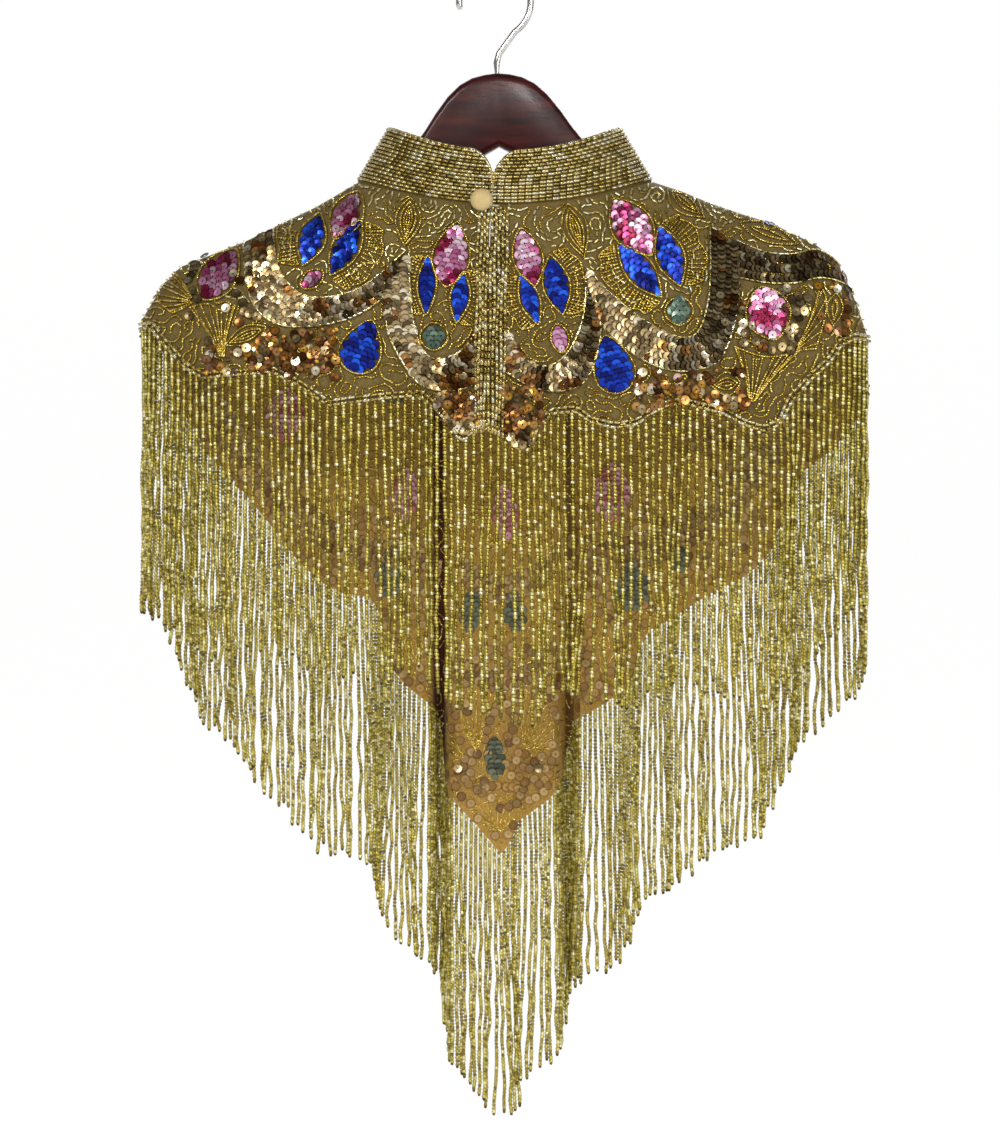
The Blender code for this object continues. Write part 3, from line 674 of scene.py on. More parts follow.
def pointTree():
    # Sequins and loose beads on points that carry the cloth's normal as an attribute.
    tree = bpy.data.node_groups.new("sewSequins", "GeometryNodeTree")
    tree.interface.new_socket("Geometry", in_out="INPUT", socket_type="NodeSocketGeometry")
    tree.interface.new_socket("Geometry", in_out="OUTPUT", socket_type="NodeSocketGeometry")
    addInput(tree, "Tilt", "NodeSocketFloat", 0.3)
    addInput(tree, "Bead", "NodeSocketObject")
    addInput(tree, "Material", "NodeSocketMaterial")
    addInput(tree, "Seed", "NodeSocketInt", 1)
    nodes, links = tree.nodes, tree.links
    group, end = nodes.new("NodeGroupInput"), nodes.new("NodeGroupOutput")
    normal = nodes.new("GeometryNodeInputNamedAttribute")
    normal.data_type = "FLOAT_VECTOR"
    normal.inputs["Name"].default_value = "clothNormal"
    align = nodes.new("FunctionNodeAlignRotationToVector")
    align.axis = "Z"
    links.new(normal.outputs[0], align.inputs["Vector"])
    sway = randomVector(nodes, links, (-1, -1, -9), (1, 1, 9), group.outputs["Seed"])
    scaleSway = nodes.new("ShaderNodeVectorMath")
    scaleSway.operation = "SCALE"
    links.new(sway, scaleSway.inputs[0])
    links.new(group.outputs["Tilt"], scaleSway.inputs["Scale"])
    turn = nodes.new("FunctionNodeEulerToRotation")
    links.new(scaleSway.outputs[0], turn.inputs[0])
    rotate = nodes.new("FunctionNodeRotateRotation")
    rotate.rotation_space = "LOCAL"
    links.new(align.outputs[0], rotate.inputs[0])
    links.new(turn.outputs[0], rotate.inputs[1])
    bead = nodes.new("GeometryNodeObjectInfo")
    links.new(group.outputs["Bead"], bead.inputs["Object"])
    toPoints = nodes.new("GeometryNodeMeshToPoints")
    links.new(group.outputs["Geometry"], toPoints.inputs["Mesh"])
    place = nodes.new("GeometryNodeInstanceOnPoints")
    links.new(toPoints.outputs["Points"], place.inputs["Points"])
    links.new(bead.outputs["Geometry"], place.inputs["Instance"])
    links.new(rotate.outputs[0], place.inputs["Rotation"])
    finishTree(tree, place.outputs["Instances"], group, end)
    return tree


trees, beads = {}, {}


def socketOf(tree, name):
    return next(item.identifier for item in tree.interface.items_tree if item.name == name)


def applyTree(obj, tree, settings):
    # Runs a tree on an object and keeps the result as a plain mesh.
    modifier = obj.modifiers.new("beads", "NODES")
    modifier.node_group = tree
    for name, value in settings.items():
        modifier[socketOf(tree, name)] = value
    graph = bpy.context.evaluated_depsgraph_get()
    made = bpy.data.meshes.new_from_object(obj.evaluated_get(graph))
    obj.modifiers.remove(modifier)
    old = obj.data
    obj.data = made
    bpy.data.meshes.remove(old)
    made.name = obj.name
    return obj


def threadBeads(name, paths, bead, pitch, material, wobble=0.08, seed=1, replaced=()):
    points, edges = [], []
    for path in paths:
        start = len(points)
        points += path
        edges += [(start + i, start + i + 1) for i in range(len(path) - 1)]
    obj = meshObject(name, points, [], edges)
    applyTree(obj, trees["path"], {"Pitch": pitch, "Wobble": wobble, "Bead": beads[bead],
                                   "Material": materials[material], "Seed": seed})
    return finishPiece(obj, None, replaced)


def sewSequins(name, spots, bead, material, tilt=0.25, seed=1):
    obj = meshObject(name, [spot for spot, up in spots], [])
    normals = obj.data.attributes.new("clothNormal", "FLOAT_VECTOR", "POINT")
    normals.data.foreach_set("vector", [c for spot, up in spots for c in up])
    applyTree(obj, trees["point"], {"Tilt": tilt, "Bead": beads[bead],
                                    "Material": materials[material], "Seed": seed})
    return finishPiece(obj)


def buildBeadShapes():
    beads["seed"] = beadMesh("seedBead", 4, ((-0.66 * mm, 0.48 * mm), (0, 0.72 * mm), (0.66 * mm, 0.48 * mm)))
    beads["string"] = beadMesh("stringBead", 4, ((-0.94 * mm, 0.86 * mm), (0, 1.27 * mm), (0.94 * mm, 0.86 * mm)))
    beads["tip"] = beadMesh("tipBead", 6, ((-1.0 * mm, 0.3 * mm), (-0.5 * mm, 1.0 * mm), (0.6 * mm, 0.9 * mm),
                                           (1.1 * mm, 0.2 * mm)), caps=True)
    beads["bugle"] = beadMesh("bugleBead", 6, ((-1.85 * mm, 0.62 * mm), (-1.7 * mm, 0.92 * mm),
                                               (1.7 * mm, 0.92 * mm), (1.85 * mm, 0.62 * mm)))
    beads["shortBugle"] = beadMesh("shortBugle", 5, ((-1.45 * mm, 0.5 * mm), (0, 0.62 * mm), (1.45 * mm, 0.5 * mm)))
    beads["amber"] = beadMesh("amberBead", 6, ((-1.3 * mm, 0.5 * mm), (-0.6 * mm, 1.6 * mm), (0.6 * mm, 1.6 * mm),
                                               (1.3 * mm, 0.5 * mm)), caps=True)
    beads["sequin"] = sequinMesh("flatSequin", 2.8 * mm)
    beads["smallSequin"] = sequinMesh("smallSequin", 2.0 * mm)
    trees["path"], trees["point"] = pathTree(), pointTree()


# Cloth
clothSpec = {"lift": -1.0 * mm, "thick": 0.35 * mm, "rows": 30, "columns": 90}


def clothGrid(side, low, high, columns, rows):
    # low and high give a panel's edges by the turn down it.
    grid, normals = [], []
    for r in range(rows + 1):
        turn = r / rows
        drop = 1 - math.cos(turn * math.pi / 2)
        first = math.asin((low(turn) - form["centreX"]) / form["halfWidth"])
        last = math.asin((high(turn) - form["centreX"]) / form["halfWidth"])
        row, ups = [], []
        for c in range(columns + 1):
            x = form["centreX"] + form["halfWidth"] * math.sin(first + (last - first) * c / columns)
            up = normalAt(side, x, drop)
            row.append(panelAt(side, x, drop) + up * clothSpec["lift"])
            ups.append(up)
        grid.append(row)
        normals.append(ups)
    return grid, normals


def keepSide(grid, side, thick=0.0):
    for row in grid:
        for point in row:
            point.y = side * max(side * point.y, 0.35 * mm)
    return grid


def buildCloth():
    corner = form["halfWidth"] * math.sin(form["sideAngle"])
    left, right = form["centreX"] - corner, form["centreX"] + corner
    edge = 0.2 * mm
    pieces = {}
    layout = (
        ("netBackLeft", "back_left", -1, lambda t: left, lambda t: slitX(t) - edge, 100, 26, "net"),
        ("netBackRight", "back_right", -1, lambda t: slitX(t) + edge, lambda t: right, 100, 26, "net"),
        ("netFront", "front", 1, lambda t: left, lambda t: right, 300, 44, "netFront"),
    )
    for name, node, side, low, high, columns, rows, cloth in layout:
        grid, normals = clothGrid(side, low, high, columns, rows)
        keepSide(grid, side)
        obj = shellOf(name, grid, clothSpec["thick"], normals)
        finishPiece(obj, materials[cloth], (node,))
        if side > 0:  # its outside is as pale as the back's
            obj.data.materials.append(materials["net"])
            for index in range(0, 2 * rows * columns, 2):
                obj.data.polygons[index].material_index = 1
        pieces[name] = obj
    return pieces


# Fringe: bead strings hung from the hem
fringeSpec = {"backPitch": 4.3 * mm, "frontPitch": 3.1 * mm, "beadPitch": 1.95 * mm, "steps": 26,
              "drift": 6.5 * mm, "wriggle": 0.7 * mm, "clump": 14 * mm}


def hemPath(side, low, high, step=0.4 * mm):
    # Points along the hem's middle line.
    count = int((high - low) / step)
    points = []
    for i in range(count + 1):
        x = low + (high - low) * i / count
        points.append(panelAt(side, x, 1.0) - normalAt(side, x, 1.0) * 0.8 * mm)
    return points


def spread(points, pitch, riseShare):
    # Points at an even pitch; riseShare is how much the climb along the hem counts.
    run = [0.0]
    for a, b in zip(points, points[1:]):
        flat = math.hypot(b.x - a.x, b.y - a.y)
        run.append(run[-1] + math.hypot(flat, riseShare * (b.z - a.z)))
    count = max(2, int(run[-1] / pitch))
    result, index = [], 0
    for i in range(count):
        want = (i + 0.5) * run[-1] / count
        while run[index + 1] < want:
            index += 1
        share = (want - run[index]) / (run[index + 1] - run[index])
        result.append(points[index].lerp(points[index + 1], share))
    return result


def buildFringe():
    corner = form["halfWidth"] * math.sin(form["sideAngle"])
    left, right = form["centreX"] - corner, form["centreX"] + corner
    foldLeft, foldRight = foldsFront["x"][0], foldsFront["x"][1]
    stretches = (
        ("stringsBackLeft", "fringe_back_left", -1, left, form["slitHem"] - 0.3 * mm, 0.25),
        ("stringsBackRight", "fringe_back_right", -1, form["slitHem"] + 0.3 * mm, right, 0.25),
        ("stringsFrontLeft", "fringe_front_left", 1, left, foldLeft, 0.45),
        ("stringsFrontTab", "fringe_front_tab", 1, foldLeft, foldRight, 0.45),
        ("stringsFrontRight", "fringe_front_right", 1, foldRight, right, 0.45),
    )
    draw = random.Random(11)
    steps = fringeSpec["steps"]
    tips = []
    count = 0
    for index, (name, node, side, low, high, rise) in enumerate(stretches):
        paths = []
        pitch = fringeSpec["backPitch"] if side < 0 else fringeSpec["frontPitch"]
        for root in spread(hemPath(side, low, high), pitch, rise):
            count += 1
            length = form["fringeLength"] + draw.uniform(-5, 3) * mm
            own, lean = draw.uniform(0, 50), draw.uniform(-1, 1) * 1.4 * mm
            path = []
            for s in range(steps + 1):
                part = s / steps
                # Neighbours drift together in clumps; each string wriggles by itself, most near its tip.
                place = Vector((root.x / fringeSpec["clump"], part * 0.9, 3.0 + side))
                drift = fringeSpec["drift"] * noise.noise(place) * part ** 0.8
                other = fringeSpec["drift"] * noise.noise(place + Vector((0, 0, 9))) * part ** 0.8
                wriggle = fringeSpec["wriggle"] * min(1, part * 4) * (0.6 + 0.6 * part)
                sway = noise.noise(Vector((own, part * 11, 0))) * 2 * wriggle
                swing = noise.noise(Vector((own, part * 11, 7))) * 2 * wriggle
                path.append(root + Vector((drift + sway + lean * part, other + swing, -0.6 * mm - length * part)))
            tips.append((path[-1] + Vector((0, 0, -1.2 * mm)), Vector((1, 0, 0))))
            paths.append(path)
        threadBeads(name, paths, "string", fringeSpec["beadPitch"], "fringe",
                    wobble=0.2, seed=index + 3, replaced=(node,))
    sewSequins("stringTips", tips, "tip", "tip", tilt=0.05, seed=5)
    print("bead strings", count)


# Collar
collarSpec = {
    "height": 29 * mm, "endHeight": 11 * mm, "endRadius": 17 * mm, "topHalfWidth": 65 * mm,
    "leanDepth": 1.5 * mm, "rows": 15, "pitch": 3.9 * mm,
}


def collarPoint(angle, endDistance, part, inset):
    base = neckPoint(angle)
    rounding = min(endDistance / collarSpec["endRadius"], 1)
    rise = collarSpec["endHeight"] + (collarSpec["height"] - collarSpec["endHeight"]) * math.sqrt(
        max(0.0, 1 - (1 - rounding) ** 2))
    lean = part * rise / collarSpec["height"]
    half = form["neckHalfWidth"] + (collarSpec["topHalfWidth"] - form["neckHalfWidth"]) * lean
    depth = form["neckFrontDepth"] if math.cos(angle) < 0 else form["neckBackDepth"]
    depth -= collarSpec["leanDepth"] * lean
    x = form["centreX"] + (half - inset) * math.sin(angle)
    return Vector((x, -(depth - inset) * math.cos(angle), base.z + rise * part))


def collarLine(part, inset, count=260):
    # Points round the collar at one height, from its left end to its right one.
    slitAngle = math.asin((form["slitTop"] - form["centreX"]) / form["neckHalfWidth"])
    edgeAngle = form["seamGap"] / form["neckHalfWidth"]
    start, end = slitAngle - edgeAngle, slitAngle + edgeAngle - 2 * math.pi
    girth = 2 * math.pi * form["neckHalfWidth"]
    line = []
    for i in range(count + 1):
        place = i / count
        if place < 0.05 or place > 0.95:  # closer together at the rounded ends
            edge = min(place, 1 - place)
            edge = 0.05 * (edge / 0.05) ** 2
            place = edge if place < 0.5 else 1 - edge
        line.append(collarPoint(start + (end - start) * place, min(place, 1 - place) * girth, part, inset))
    return line


def shifted(path, distance):
    # A path without its first stretch, so that neighbouring rows are laid like bricks.
    while len(path) > 2 and distance > 0:
        step = (path[1] - path[0]).length
        if step > distance:
            return [path[0].lerp(path[1], distance / step)] + path[1:]
        distance -= step
        path = path[1:]
    return path


def buildCollar():
    rows = 10
    levels = [1 - r / rows * 1.07 for r in range(rows + 1)]
    outer = [collarLine(level, 0.9 * mm) for level in levels]
    inner = [collarLine(level, 1.9 * mm) for level in levels]
    normals = [[(a - b).normalized() for a, b in zip(line, other)] for line, other in zip(outer, inner)]
    band = shellOf("collarBand", outer, 0.9 * mm, normals)
    finishPiece(band, materials["band"], ("collar",))
    lines = []
    count = collarSpec["rows"]
    for r in range(count):
        # Rows keep an even spacing down the band; the upper ones stop at the rounded ends.
        down = (r + 0.5) / count
        full = collarLine(1.0, 0.0)
        base = collarLine(0.0, 0.0)
        line = []
        for top, bottom in zip(full, base):
            height = collarSpec["height"] * (1 - down)
            rise = top.z - bottom.z
            if height < rise - 0.4 * mm:
                part = height / rise
                line.append(bottom.lerp(top, part))
            elif line:
                lines.append(shifted(line, (r % 2) * 0.5 * collarSpec["pitch"]))
                line = []
        if line:
            lines.append(shifted(line, (r % 2) * 0.5 * collarSpec["pitch"]))
    lines = [line for line in lines if len(line) > 3]
    edge = collarLine(1.0, 0.2 * mm)
    lines.append([p + Vector((0, 0, -0.2 * mm)) for p in edge])
    threadBeads("collarBugles", lines, "bugle", collarSpec["pitch"], "bugle", wobble=0.05, seed=21)


# Placket strips and the hem's double bugle lines
trimSpec = {"leftColumns": 4, "rightColumns": 5, "leftWidth": 6.4 * mm, "rightWidth": 9.6 * mm, "lift": 0.55 * mm}


def buildPlacket():
    for name, node, hand, columns, width in (
            ("placketBuglesLeft", "placket_left", -1, trimSpec["leftColumns"], trimSpec["leftWidth"]),
            ("placketBuglesRight", "placket_right", 1, trimSpec["rightColumns"], trimSpec["rightWidth"])):
        paths = []
        for c in range(columns):
            offset = hand * (1.1 * mm + (width - 1.2 * mm) * c / (columns - 1))
            path = []
            for step in range(60):
                turn = 0.115 + 0.88 * step / 59
                drop = 1 - math.cos(turn * math.pi / 2)
                x = slitX(turn) + offset + 0.35 * mm * math.sin(turn * 19 + c * 1.3 + hand)
                path.append(panelAt(-1, x, drop) + normalAt(-1, x, drop) * trimSpec["lift"])
            paths.append(shifted(path, (c % 2) * 2 * mm))
        threadBeads(name, paths, "bugle", 4.0 * mm, "bugle", wobble=0.07, seed=31 + hand, replaced=(node,))


def hemLine(side, low, high, up, lift, count):
    # A line that follows the hem at a height above it.
    line = []
    for i in range(count + 1):
        x = low + (high - low) * i / count
        slope = (panelAt(side, x + mm, 1.0).z - panelAt(side, x - mm, 1.0).z) / (2 * mm)
        column = panelColumn(side, x)
        raised = min(up * math.sqrt(1 + slope * slope), 4 * up)
        drop = 1 - raised / (column[1] - column[3])
        if drop < 0.05:
            continue
        line.append(panelAt(side, x, drop) + normalAt(side, x, drop) * lift)
    return line


def buildHemTrim():
    corner = form["halfWidth"] * math.sin(form["sideAngle"])
    left, right = form["centreX"] - corner, form["centreX"] + corner
    lines = []
    for side, low, high, count in ((-1, left, form["slitHem"] - 1 * mm, 200),
                                   (-1, form["slitHem"] + 1 * mm, right, 200), (1, left, right, 600)):
        for up in (0.9 * mm, 3.4 * mm):
            lines.append(hemLine(side, low, high, up, 0.1 * mm, count))
    threadBeads("hemBugles", lines, "bugle", 4.1 * mm, "bugle", wobble=0.1, seed=41)


# Beadwork. Motifs are laid out in the flat view from the back, in millimetres; x is across, z is up.
def seenAt(side, x, z, lift):
    # The cloth's point that the flat view shows at (x, z), for a viewer at the camera's place.
    eye = cameraSpec["place"]
    share = 1.0
    for _ in range(4):
        realX = eye[0] + (x * mm - eye[0]) * share
        realZ = eye[2] + (z * mm - eye[2]) * share
        drop = min(max(dropOf(side, realX, realZ), 0.0), 1.0)
        if side < 0:
            share = (panelAt(side, realX, drop).y - eye[1]) / -eye[1]
    return onPanel(side, realX, realZ, lift), dropOf(side, realX, realZ)


def leafLine(base, tip, width, belly=0.5, blunt=0.8, bend=0.0, count=44):
    # A leaf or drop from base to tip: belly is where it is widest, blunt rounds its ends.
    (x0, z0), (x1, z1) = base, tip
    length = math.hypot(x1 - x0, z1 - z0)
    ax, az = (x1 - x0) / length, (z1 - z0) / length
    power = math.log(0.5) / math.log(belly)
    points = []
    for i in range(count):
        turn = 2 * math.pi * i / count
        t = 0.5 - 0.5 * math.cos(turn)
        wide = width / 2 * math.sin(math.pi * min(max(t, 0), 1) ** power) ** blunt
        off = (wide if turn < math.pi else -wide) + bend * math.sin(math.pi * t)
        points.append((x0 + ax * length * t - az * off, z0 + az * length * t + ax * off))
    return points


def smoothLine(points, closed=False, rounds=3):
    for _ in range(rounds):
        pairs = list(zip(points, points[1:] + points[:1])) if closed else list(zip(points, points[1:]))
        cut = []
        for (ax, az), (bx, bz) in pairs:
            cut += [(0.75 * ax + 0.25 * bx, 0.75 * az + 0.25 * bz), (0.25 * ax + 0.75 * bx, 0.25 * az + 0.75 * bz)]
        points = cut if closed else [points[0]] + cut + [points[-1]]
    return points


def grown(points, distance):
    # A closed line moved out by a distance, along its own normals.
    area = sum(ax * bz - bx * az for (ax, az), (bx, bz) in zip(points, points[1:] + points[:1]))
    sign = 1 if area > 0 else -1
    result = []
    for i, (x, z) in enumerate(points):
        (ax, az), (bx, bz) = points[i - 1], points[(i + 1) % len(points)]
        length = math.hypot(bx - ax, bz - az) or 1
        result.append((x + sign * (bz - az) / length * distance, z - sign * (bx - ax) / length * distance))
    return result


def inside(points, x, z):
    hit = False
    for (ax, az), (bx, bz) in zip(points, points[1:] + points[:1]):
        if (az > z) != (bz > z) and x < (bx - ax) * (z - az) / (bz - az) + ax:
            hit = not hit
    return hit


def evenly(points, pitch, start=0.0):
    # Places at an even pitch along a flat line, each with the line's direction.
    result, want, run = [], start, 0.0
    for (ax, az), (bx, bz) in zip(points, points[1:]):
        length = math.hypot(bx - ax, bz - az)
        while length > 0 and want <= run + length:
            share = (want - run) / length
            result.append((ax + (bx - ax) * share, az + (bz - az) * share, (bx - ax) / length, (bz - az) / length))
            want += pitch
        run += length
    return result


class Beadwork:
    # Gathers one side's lines and spots, then sews each kind in one go.
    def __init__(self, side, seed, sunk):
        self.side, self.sunk = side, sunk
        self.draw = random.Random(seed)
        self.lines = {"seed": [], "contour": [], "worm": [], "dash": []}
        self.spots, self.backs = {}, {}
        self.taken = {}
        self.reach = form["halfWidth"] * math.sin(form["sideAngle"]) - 1.2 * mm

    def note(self, x, z, reach):
        for gx in range(math.floor(x - reach), math.ceil(x + reach) + 1):
            for gz in range(math.floor(z - reach), math.ceil(z + reach) + 1):
                if (gx - x) ** 2 + (gz - z) ** 2 <= reach * reach:
                    self.taken[(gx, gz)] = True

    def line(self, kind, points, lift=0.1, closed=False, reach=1.6):
        lift += self.sunk
        if closed:
            points = points + points[:1]
        path = []
        for x, z in points:
            (spot, up), drop = seenAt(self.side, x, z, lift * mm)
            if 0.02 < drop < 0.985 and abs(spot.x - form["centreX"]) < self.reach:
                path.append(spot)
                self.note(x, z, reach)
            elif path:
                if len(path) > 1:
                    self.lines[kind].append(path)
                path = []
        if len(path) > 1:
            self.lines[kind].append(path)

    def spot(self, kind, x, z, lift=0.3, reach=2.2, way=None, small=False):
        # way is the flat direction that a sequin's raised edge points in, as in fish scales.
        (place, up), drop = seenAt(self.side, x, z, (lift if self.side < 0 else lift - 0.7) * mm)
        if 0.02 < drop < 0.985 and abs(place.x - form["centreX"]) < self.reach:
            under, lean = place - up * (1.0 + lift) * mm, Vector((0, 0, 0))
            if way:
                lean = Vector((-way[0], 0, -way[1])) * self.draw.uniform(0.22, 0.32)
            self.spots.setdefault(kind + "Small" * small, []).append((place, (up + lean).normalized()))
            if self.side > 0:
                self.backs.setdefault(kind + "Small" * small, []).append((under, (lean - up).normalized()))
            self.note(x, z, reach)

    def fill(self, kind, outline, way, mix=None):
        # Overlapping sequins in rows across an outline, laid like scales along its axis.
        ax, az = way
        along = [p[0] * ax + p[1] * az for p in outline]
        across = [-p[0] * az + p[1] * ax for p in outline]
        u, row = min(along) + 1.8, 0
        while u < max(along) - 1.2:
            hits = [v * 0.5 for v in range(int(min(across) * 2), int(max(across) * 2) + 1)
                    if inside(outline, u * ax - v * 0.5 * az, u * az + v * 0.5 * ax)]
            if hits:
                small = hits[-1] - hits[0] < 5.2
                room = max(0, hits[-1] - hits[0] - (3.4 if small else 5.0))
                count = round(room / 3.9) + 1
                places = [room * (k / (count - 1) - 0.5) if count > 1 else 0.0 for k in range(count)]
                if row % 2 and count > 2:
                    places = [(a + b) / 2 for a, b in zip(places, places[1:])]
                for k, place in enumerate(places):
                    v = (hits[0] + hits[-1]) / 2 + place + self.draw.uniform(-0.2, 0.2)
                    x, z = u * ax - v * az, u * az + v * ax
                    self.spot(mix(x, z) if mix else kind, x, z, 0.5 + 0.35 * (k % 2), way=way, small=small)
            u += 2.7
            row += 1

    def ruffle(self, outline, start, end, depth, lobes):
        # Short bead rows standing out from part of an outline, inside a scalloped border.
        count = len(outline)
        part = [outline[i % count] for i in range(int(start * count), int(end * count) + 1)]
        grownPart = [grown(outline, 1.0)[i % count] for i in range(int(start * count), int(end * count) + 1)]
        ways = [(g[0] - p[0], g[1] - p[1]) for p, g in zip(part, grownPart)]
        total = sum(math.hypot(b[0] - a[0], b[1] - a[1]) for a, b in zip(part, part[1:]))
        rows = max(3, int(total * 1.3 / 2.0))
        border = []
        for r in range(rows + 1):
            place = r / rows * (len(part) - 1)
            i = min(int(place), len(part) - 2)
            share = place - i
            x = part[i][0] + (part[i + 1][0] - part[i][0]) * share
            z = part[i][1] + (part[i + 1][1] - part[i][1]) * share
            wx = ways[i][0] + (ways[i + 1][0] - ways[i][0]) * share
            wz = ways[i][1] + (ways[i + 1][1] - ways[i][1]) * share
            ends = min(1, 4 * min(r / rows, 1 - r / rows) + 0.25)
            reach = depth * ends * (0.78 + 0.22 * abs(math.sin(math.pi * lobes * r / rows)))
            self.line("seed", [(x + wx * 2.2, z + wz * 2.2), (x + wx * reach, z + wz * reach)], 0.0)
            border.append((x + wx * (reach + 1.3), z + wz * (reach + 1.3)))
        self.line("seed", border, 0.2)

    def leaf(self, kind, base, tip, width, belly=0.5, blunt=0.8, bend=0.0, mix=None, ruffles=()):
        outline = leafLine(base, tip, width, belly, blunt, bend)
        length = math.hypot(tip[0] - base[0], tip[1] - base[1])
        way = ((tip[0] - base[0]) / length, (tip[1] - base[1]) / length)
        self.fill(kind, outline, way, mix)
        self.line("seed", grown(outline, 0.9), 0.45, closed=True)
        for start, end, depth, lobes in ruffles:
            self.ruffle(grown(outline, 0.9), start, end, depth, lobes)
        return outline

    def goldLeaf(self, base, tip, width, bend=0.0):
        # An outline of gold beads with rows inside that follow it.
        rows = max(2, int(width / 2 / 1.7))
        for r in range(rows):
            share = 1 - r / rows
            mx, mz = (base[0] + tip[0]) / 2, (base[1] + tip[1]) / 2
            inner = [(mx + (x - mx) * (0.25 + 0.75 * share), mz + (z - mz) * (0.25 + 0.75 * share))
                     for x, z in leafLine(base, tip, width * share, 0.55, 0.85, bend)]
            self.line("seed", inner, 0.2, closed=True)

    def fan(self, root, rim, rows):
        # Bead rows that spread from a root to a curved rim.
        edge = smoothLine(rim)
        for r in range(rows):
            x, z = edge[round(r * (len(edge) - 1) / (rows - 1))]
            sag = 0.10 * (r / (rows - 1) - 0.5)
            mx, mz = (root[0] + x) / 2 - (z - root[1]) * sag, (root[1] + z) / 2 + (x - root[0]) * sag
            near = (root[0] + (mx - root[0]) * 0.25, root[1] + (mz - root[1]) * 0.25)
            self.line("seed", smoothLine([near, (mx, mz), (x, z)]), 0.15)
        self.line("seed", edge, 0.25)

    def swag(self, inner, outer, mix=None):
        # A band of overlapping sequins between two bugle contours.
        first, second = smoothLine(inner), smoothLine(outer)
        self.line("contour", first, 0.35, reach=2.0)
        self.line("contour", second, 0.35, reach=2.0)
        a = evenly(first, 1.0)
        b = evenly(second, 1.0)
        longest = max(len(a), len(b))
        steps = int(longest / 3.0)
        for s in range(steps + 1):
            p = a[min(int(s / steps * (len(a) - 1)), len(a) - 1)]
            q = b[min(int(s / steps * (len(b) - 1)), len(b) - 1)]
            gap = math.hypot(q[0] - p[0], q[1] - p[1])
            across = max(1, round((gap - 5.6) / 4.6) + 1)
            for k in range(across):
                share = (2.7 + (gap - 5.4) * (k / (across - 1) if across > 1 else 0.5)) / max(gap, 5.5)
                x = p[0] + (q[0] - p[0]) * share + self.draw.uniform(-0.3, 0.3)
                z = p[1] + (q[1] - p[1]) * share + self.draw.uniform(-0.4, 0.4) - (s % 2) * 0.6
                self.spot(mix(x, z) if mix else "bronze", x, z, 0.5 + 0.35 * (k % 2), way=(-p[2], -p[3]))

    def scatter(self, box, count, mix, spacing=2.7):
        # Loose sequins and glass beads in what is still free of a box.
        (x0, x1), (z0, z1) = box
        for _ in range(count):
            x, z = self.draw.uniform(x0, x1), self.draw.uniform(z0, z1)
            if (round(x), round(z)) not in self.taken:
                turn = self.draw.uniform(0, 2 * math.pi)
                self.spot(mix(x, z), x, z, 0.4 + self.draw.uniform(0, 0.9), reach=spacing,
                          way=(0.6 * math.cos(turn), 0.6 * math.sin(turn)))

    def worms(self, low, high, spacing=2.4):
        # Wandering bead lines that fill the free cloth without crossing.
        x0, x1 = low
        z0, z1 = high
        for _ in range(int((x1 - x0) * (z1 - z0) / 9)):
            x, z = self.draw.uniform(x0, x1), self.draw.uniform(z0, z1)
            if (round(x), round(z)) in self.taken:
                continue
            heading, path = self.draw.uniform(0, 6.28), [(x, z)]
            turnWay = self.draw.choice((-1, 1))
            for step in range(self.draw.randint(18, 80)):
                heading += turnWay * self.draw.uniform(0.1, 0.42)
                if self.draw.random() < 0.16:
                    turnWay = -turnWay
                for swing in (0, 0.5, -0.5, 1.0, -1.0, 1.5, -1.5):
                    nextX, nextZ = x + math.cos(heading + swing) * 1.1, z + math.sin(heading + swing) * 1.1
                    if (round(nextX), round(nextZ)) not in self.taken and all(
                            math.hypot(nextX - px, nextZ - pz) > spacing for px, pz in path[:-3]):
                        break
                else:
                    break
                heading, x, z = heading + swing, nextX, nextZ
                path.append((x, z))
            if len(path) > 4:
                upper = z > -172 - 22 * abs(x - 6) / 200 and self.draw.random() < 0.8
                self.line("dash" if upper else "worm", smoothLine(path, rounds=1), 0.0, reach=spacing)

    def sew(self, label):
        seeds = {"seed": ("seed", 1.4 * mm, "seed", "seed_bead"),
                 "contour": ("shortBugle", 3.1 * mm, "bugle", "bugle"),
                 "worm": ("seed", 1.45 * mm, "seed", "seed_bead"),
                 "dash": ("shortBugle", 3.1 * mm, "bugle", "bugle")}
        index = 50 if self.side < 0 else 70
        for kind, (bead, pitch, material, slot) in seeds.items():
            index += 1
            if self.lines[kind]:
                name = label + kind.capitalize() + "Lines"
                threadBeads(name, self.lines[kind], bead, pitch, material, 0.12, index)
                print(name, len(self.lines[kind]), "lines")
        shapes = {"amberBead": ("amber", "amber", "amber_bead", 0.12), "amberCup": ("sequin", "amber", "amber_bead", 0.34)}
        slots = {"bronze": "sequin_bronze", "pink": "sequin_pink", "red": "sequin_pink", "brown": "sequin_bronze", "blue": "sequin_blue",
                 "green": "sequin_green"}
        for kind, spots in sorted(self.spots.items()):
            index += 1
            plain = kind.replace("Small", "")
            size = "smallSequin" if plain != kind else "sequin"
            bead, material, slot, tilt = shapes.get(plain, (size, plain, slots.get(plain), 0.09))
            sewSequins(label + kind[0].upper() + kind[1:], spots, bead, material, tilt, index)
            print(label, kind, len(spots))
            if kind in self.backs:
                shown = "brown" if material == "amber" else material
                sewSequins(label + kind[0].upper() + kind[1:] + "Inside", self.backs[kind], size, shown + "Back",
                           0.06, index + 20)


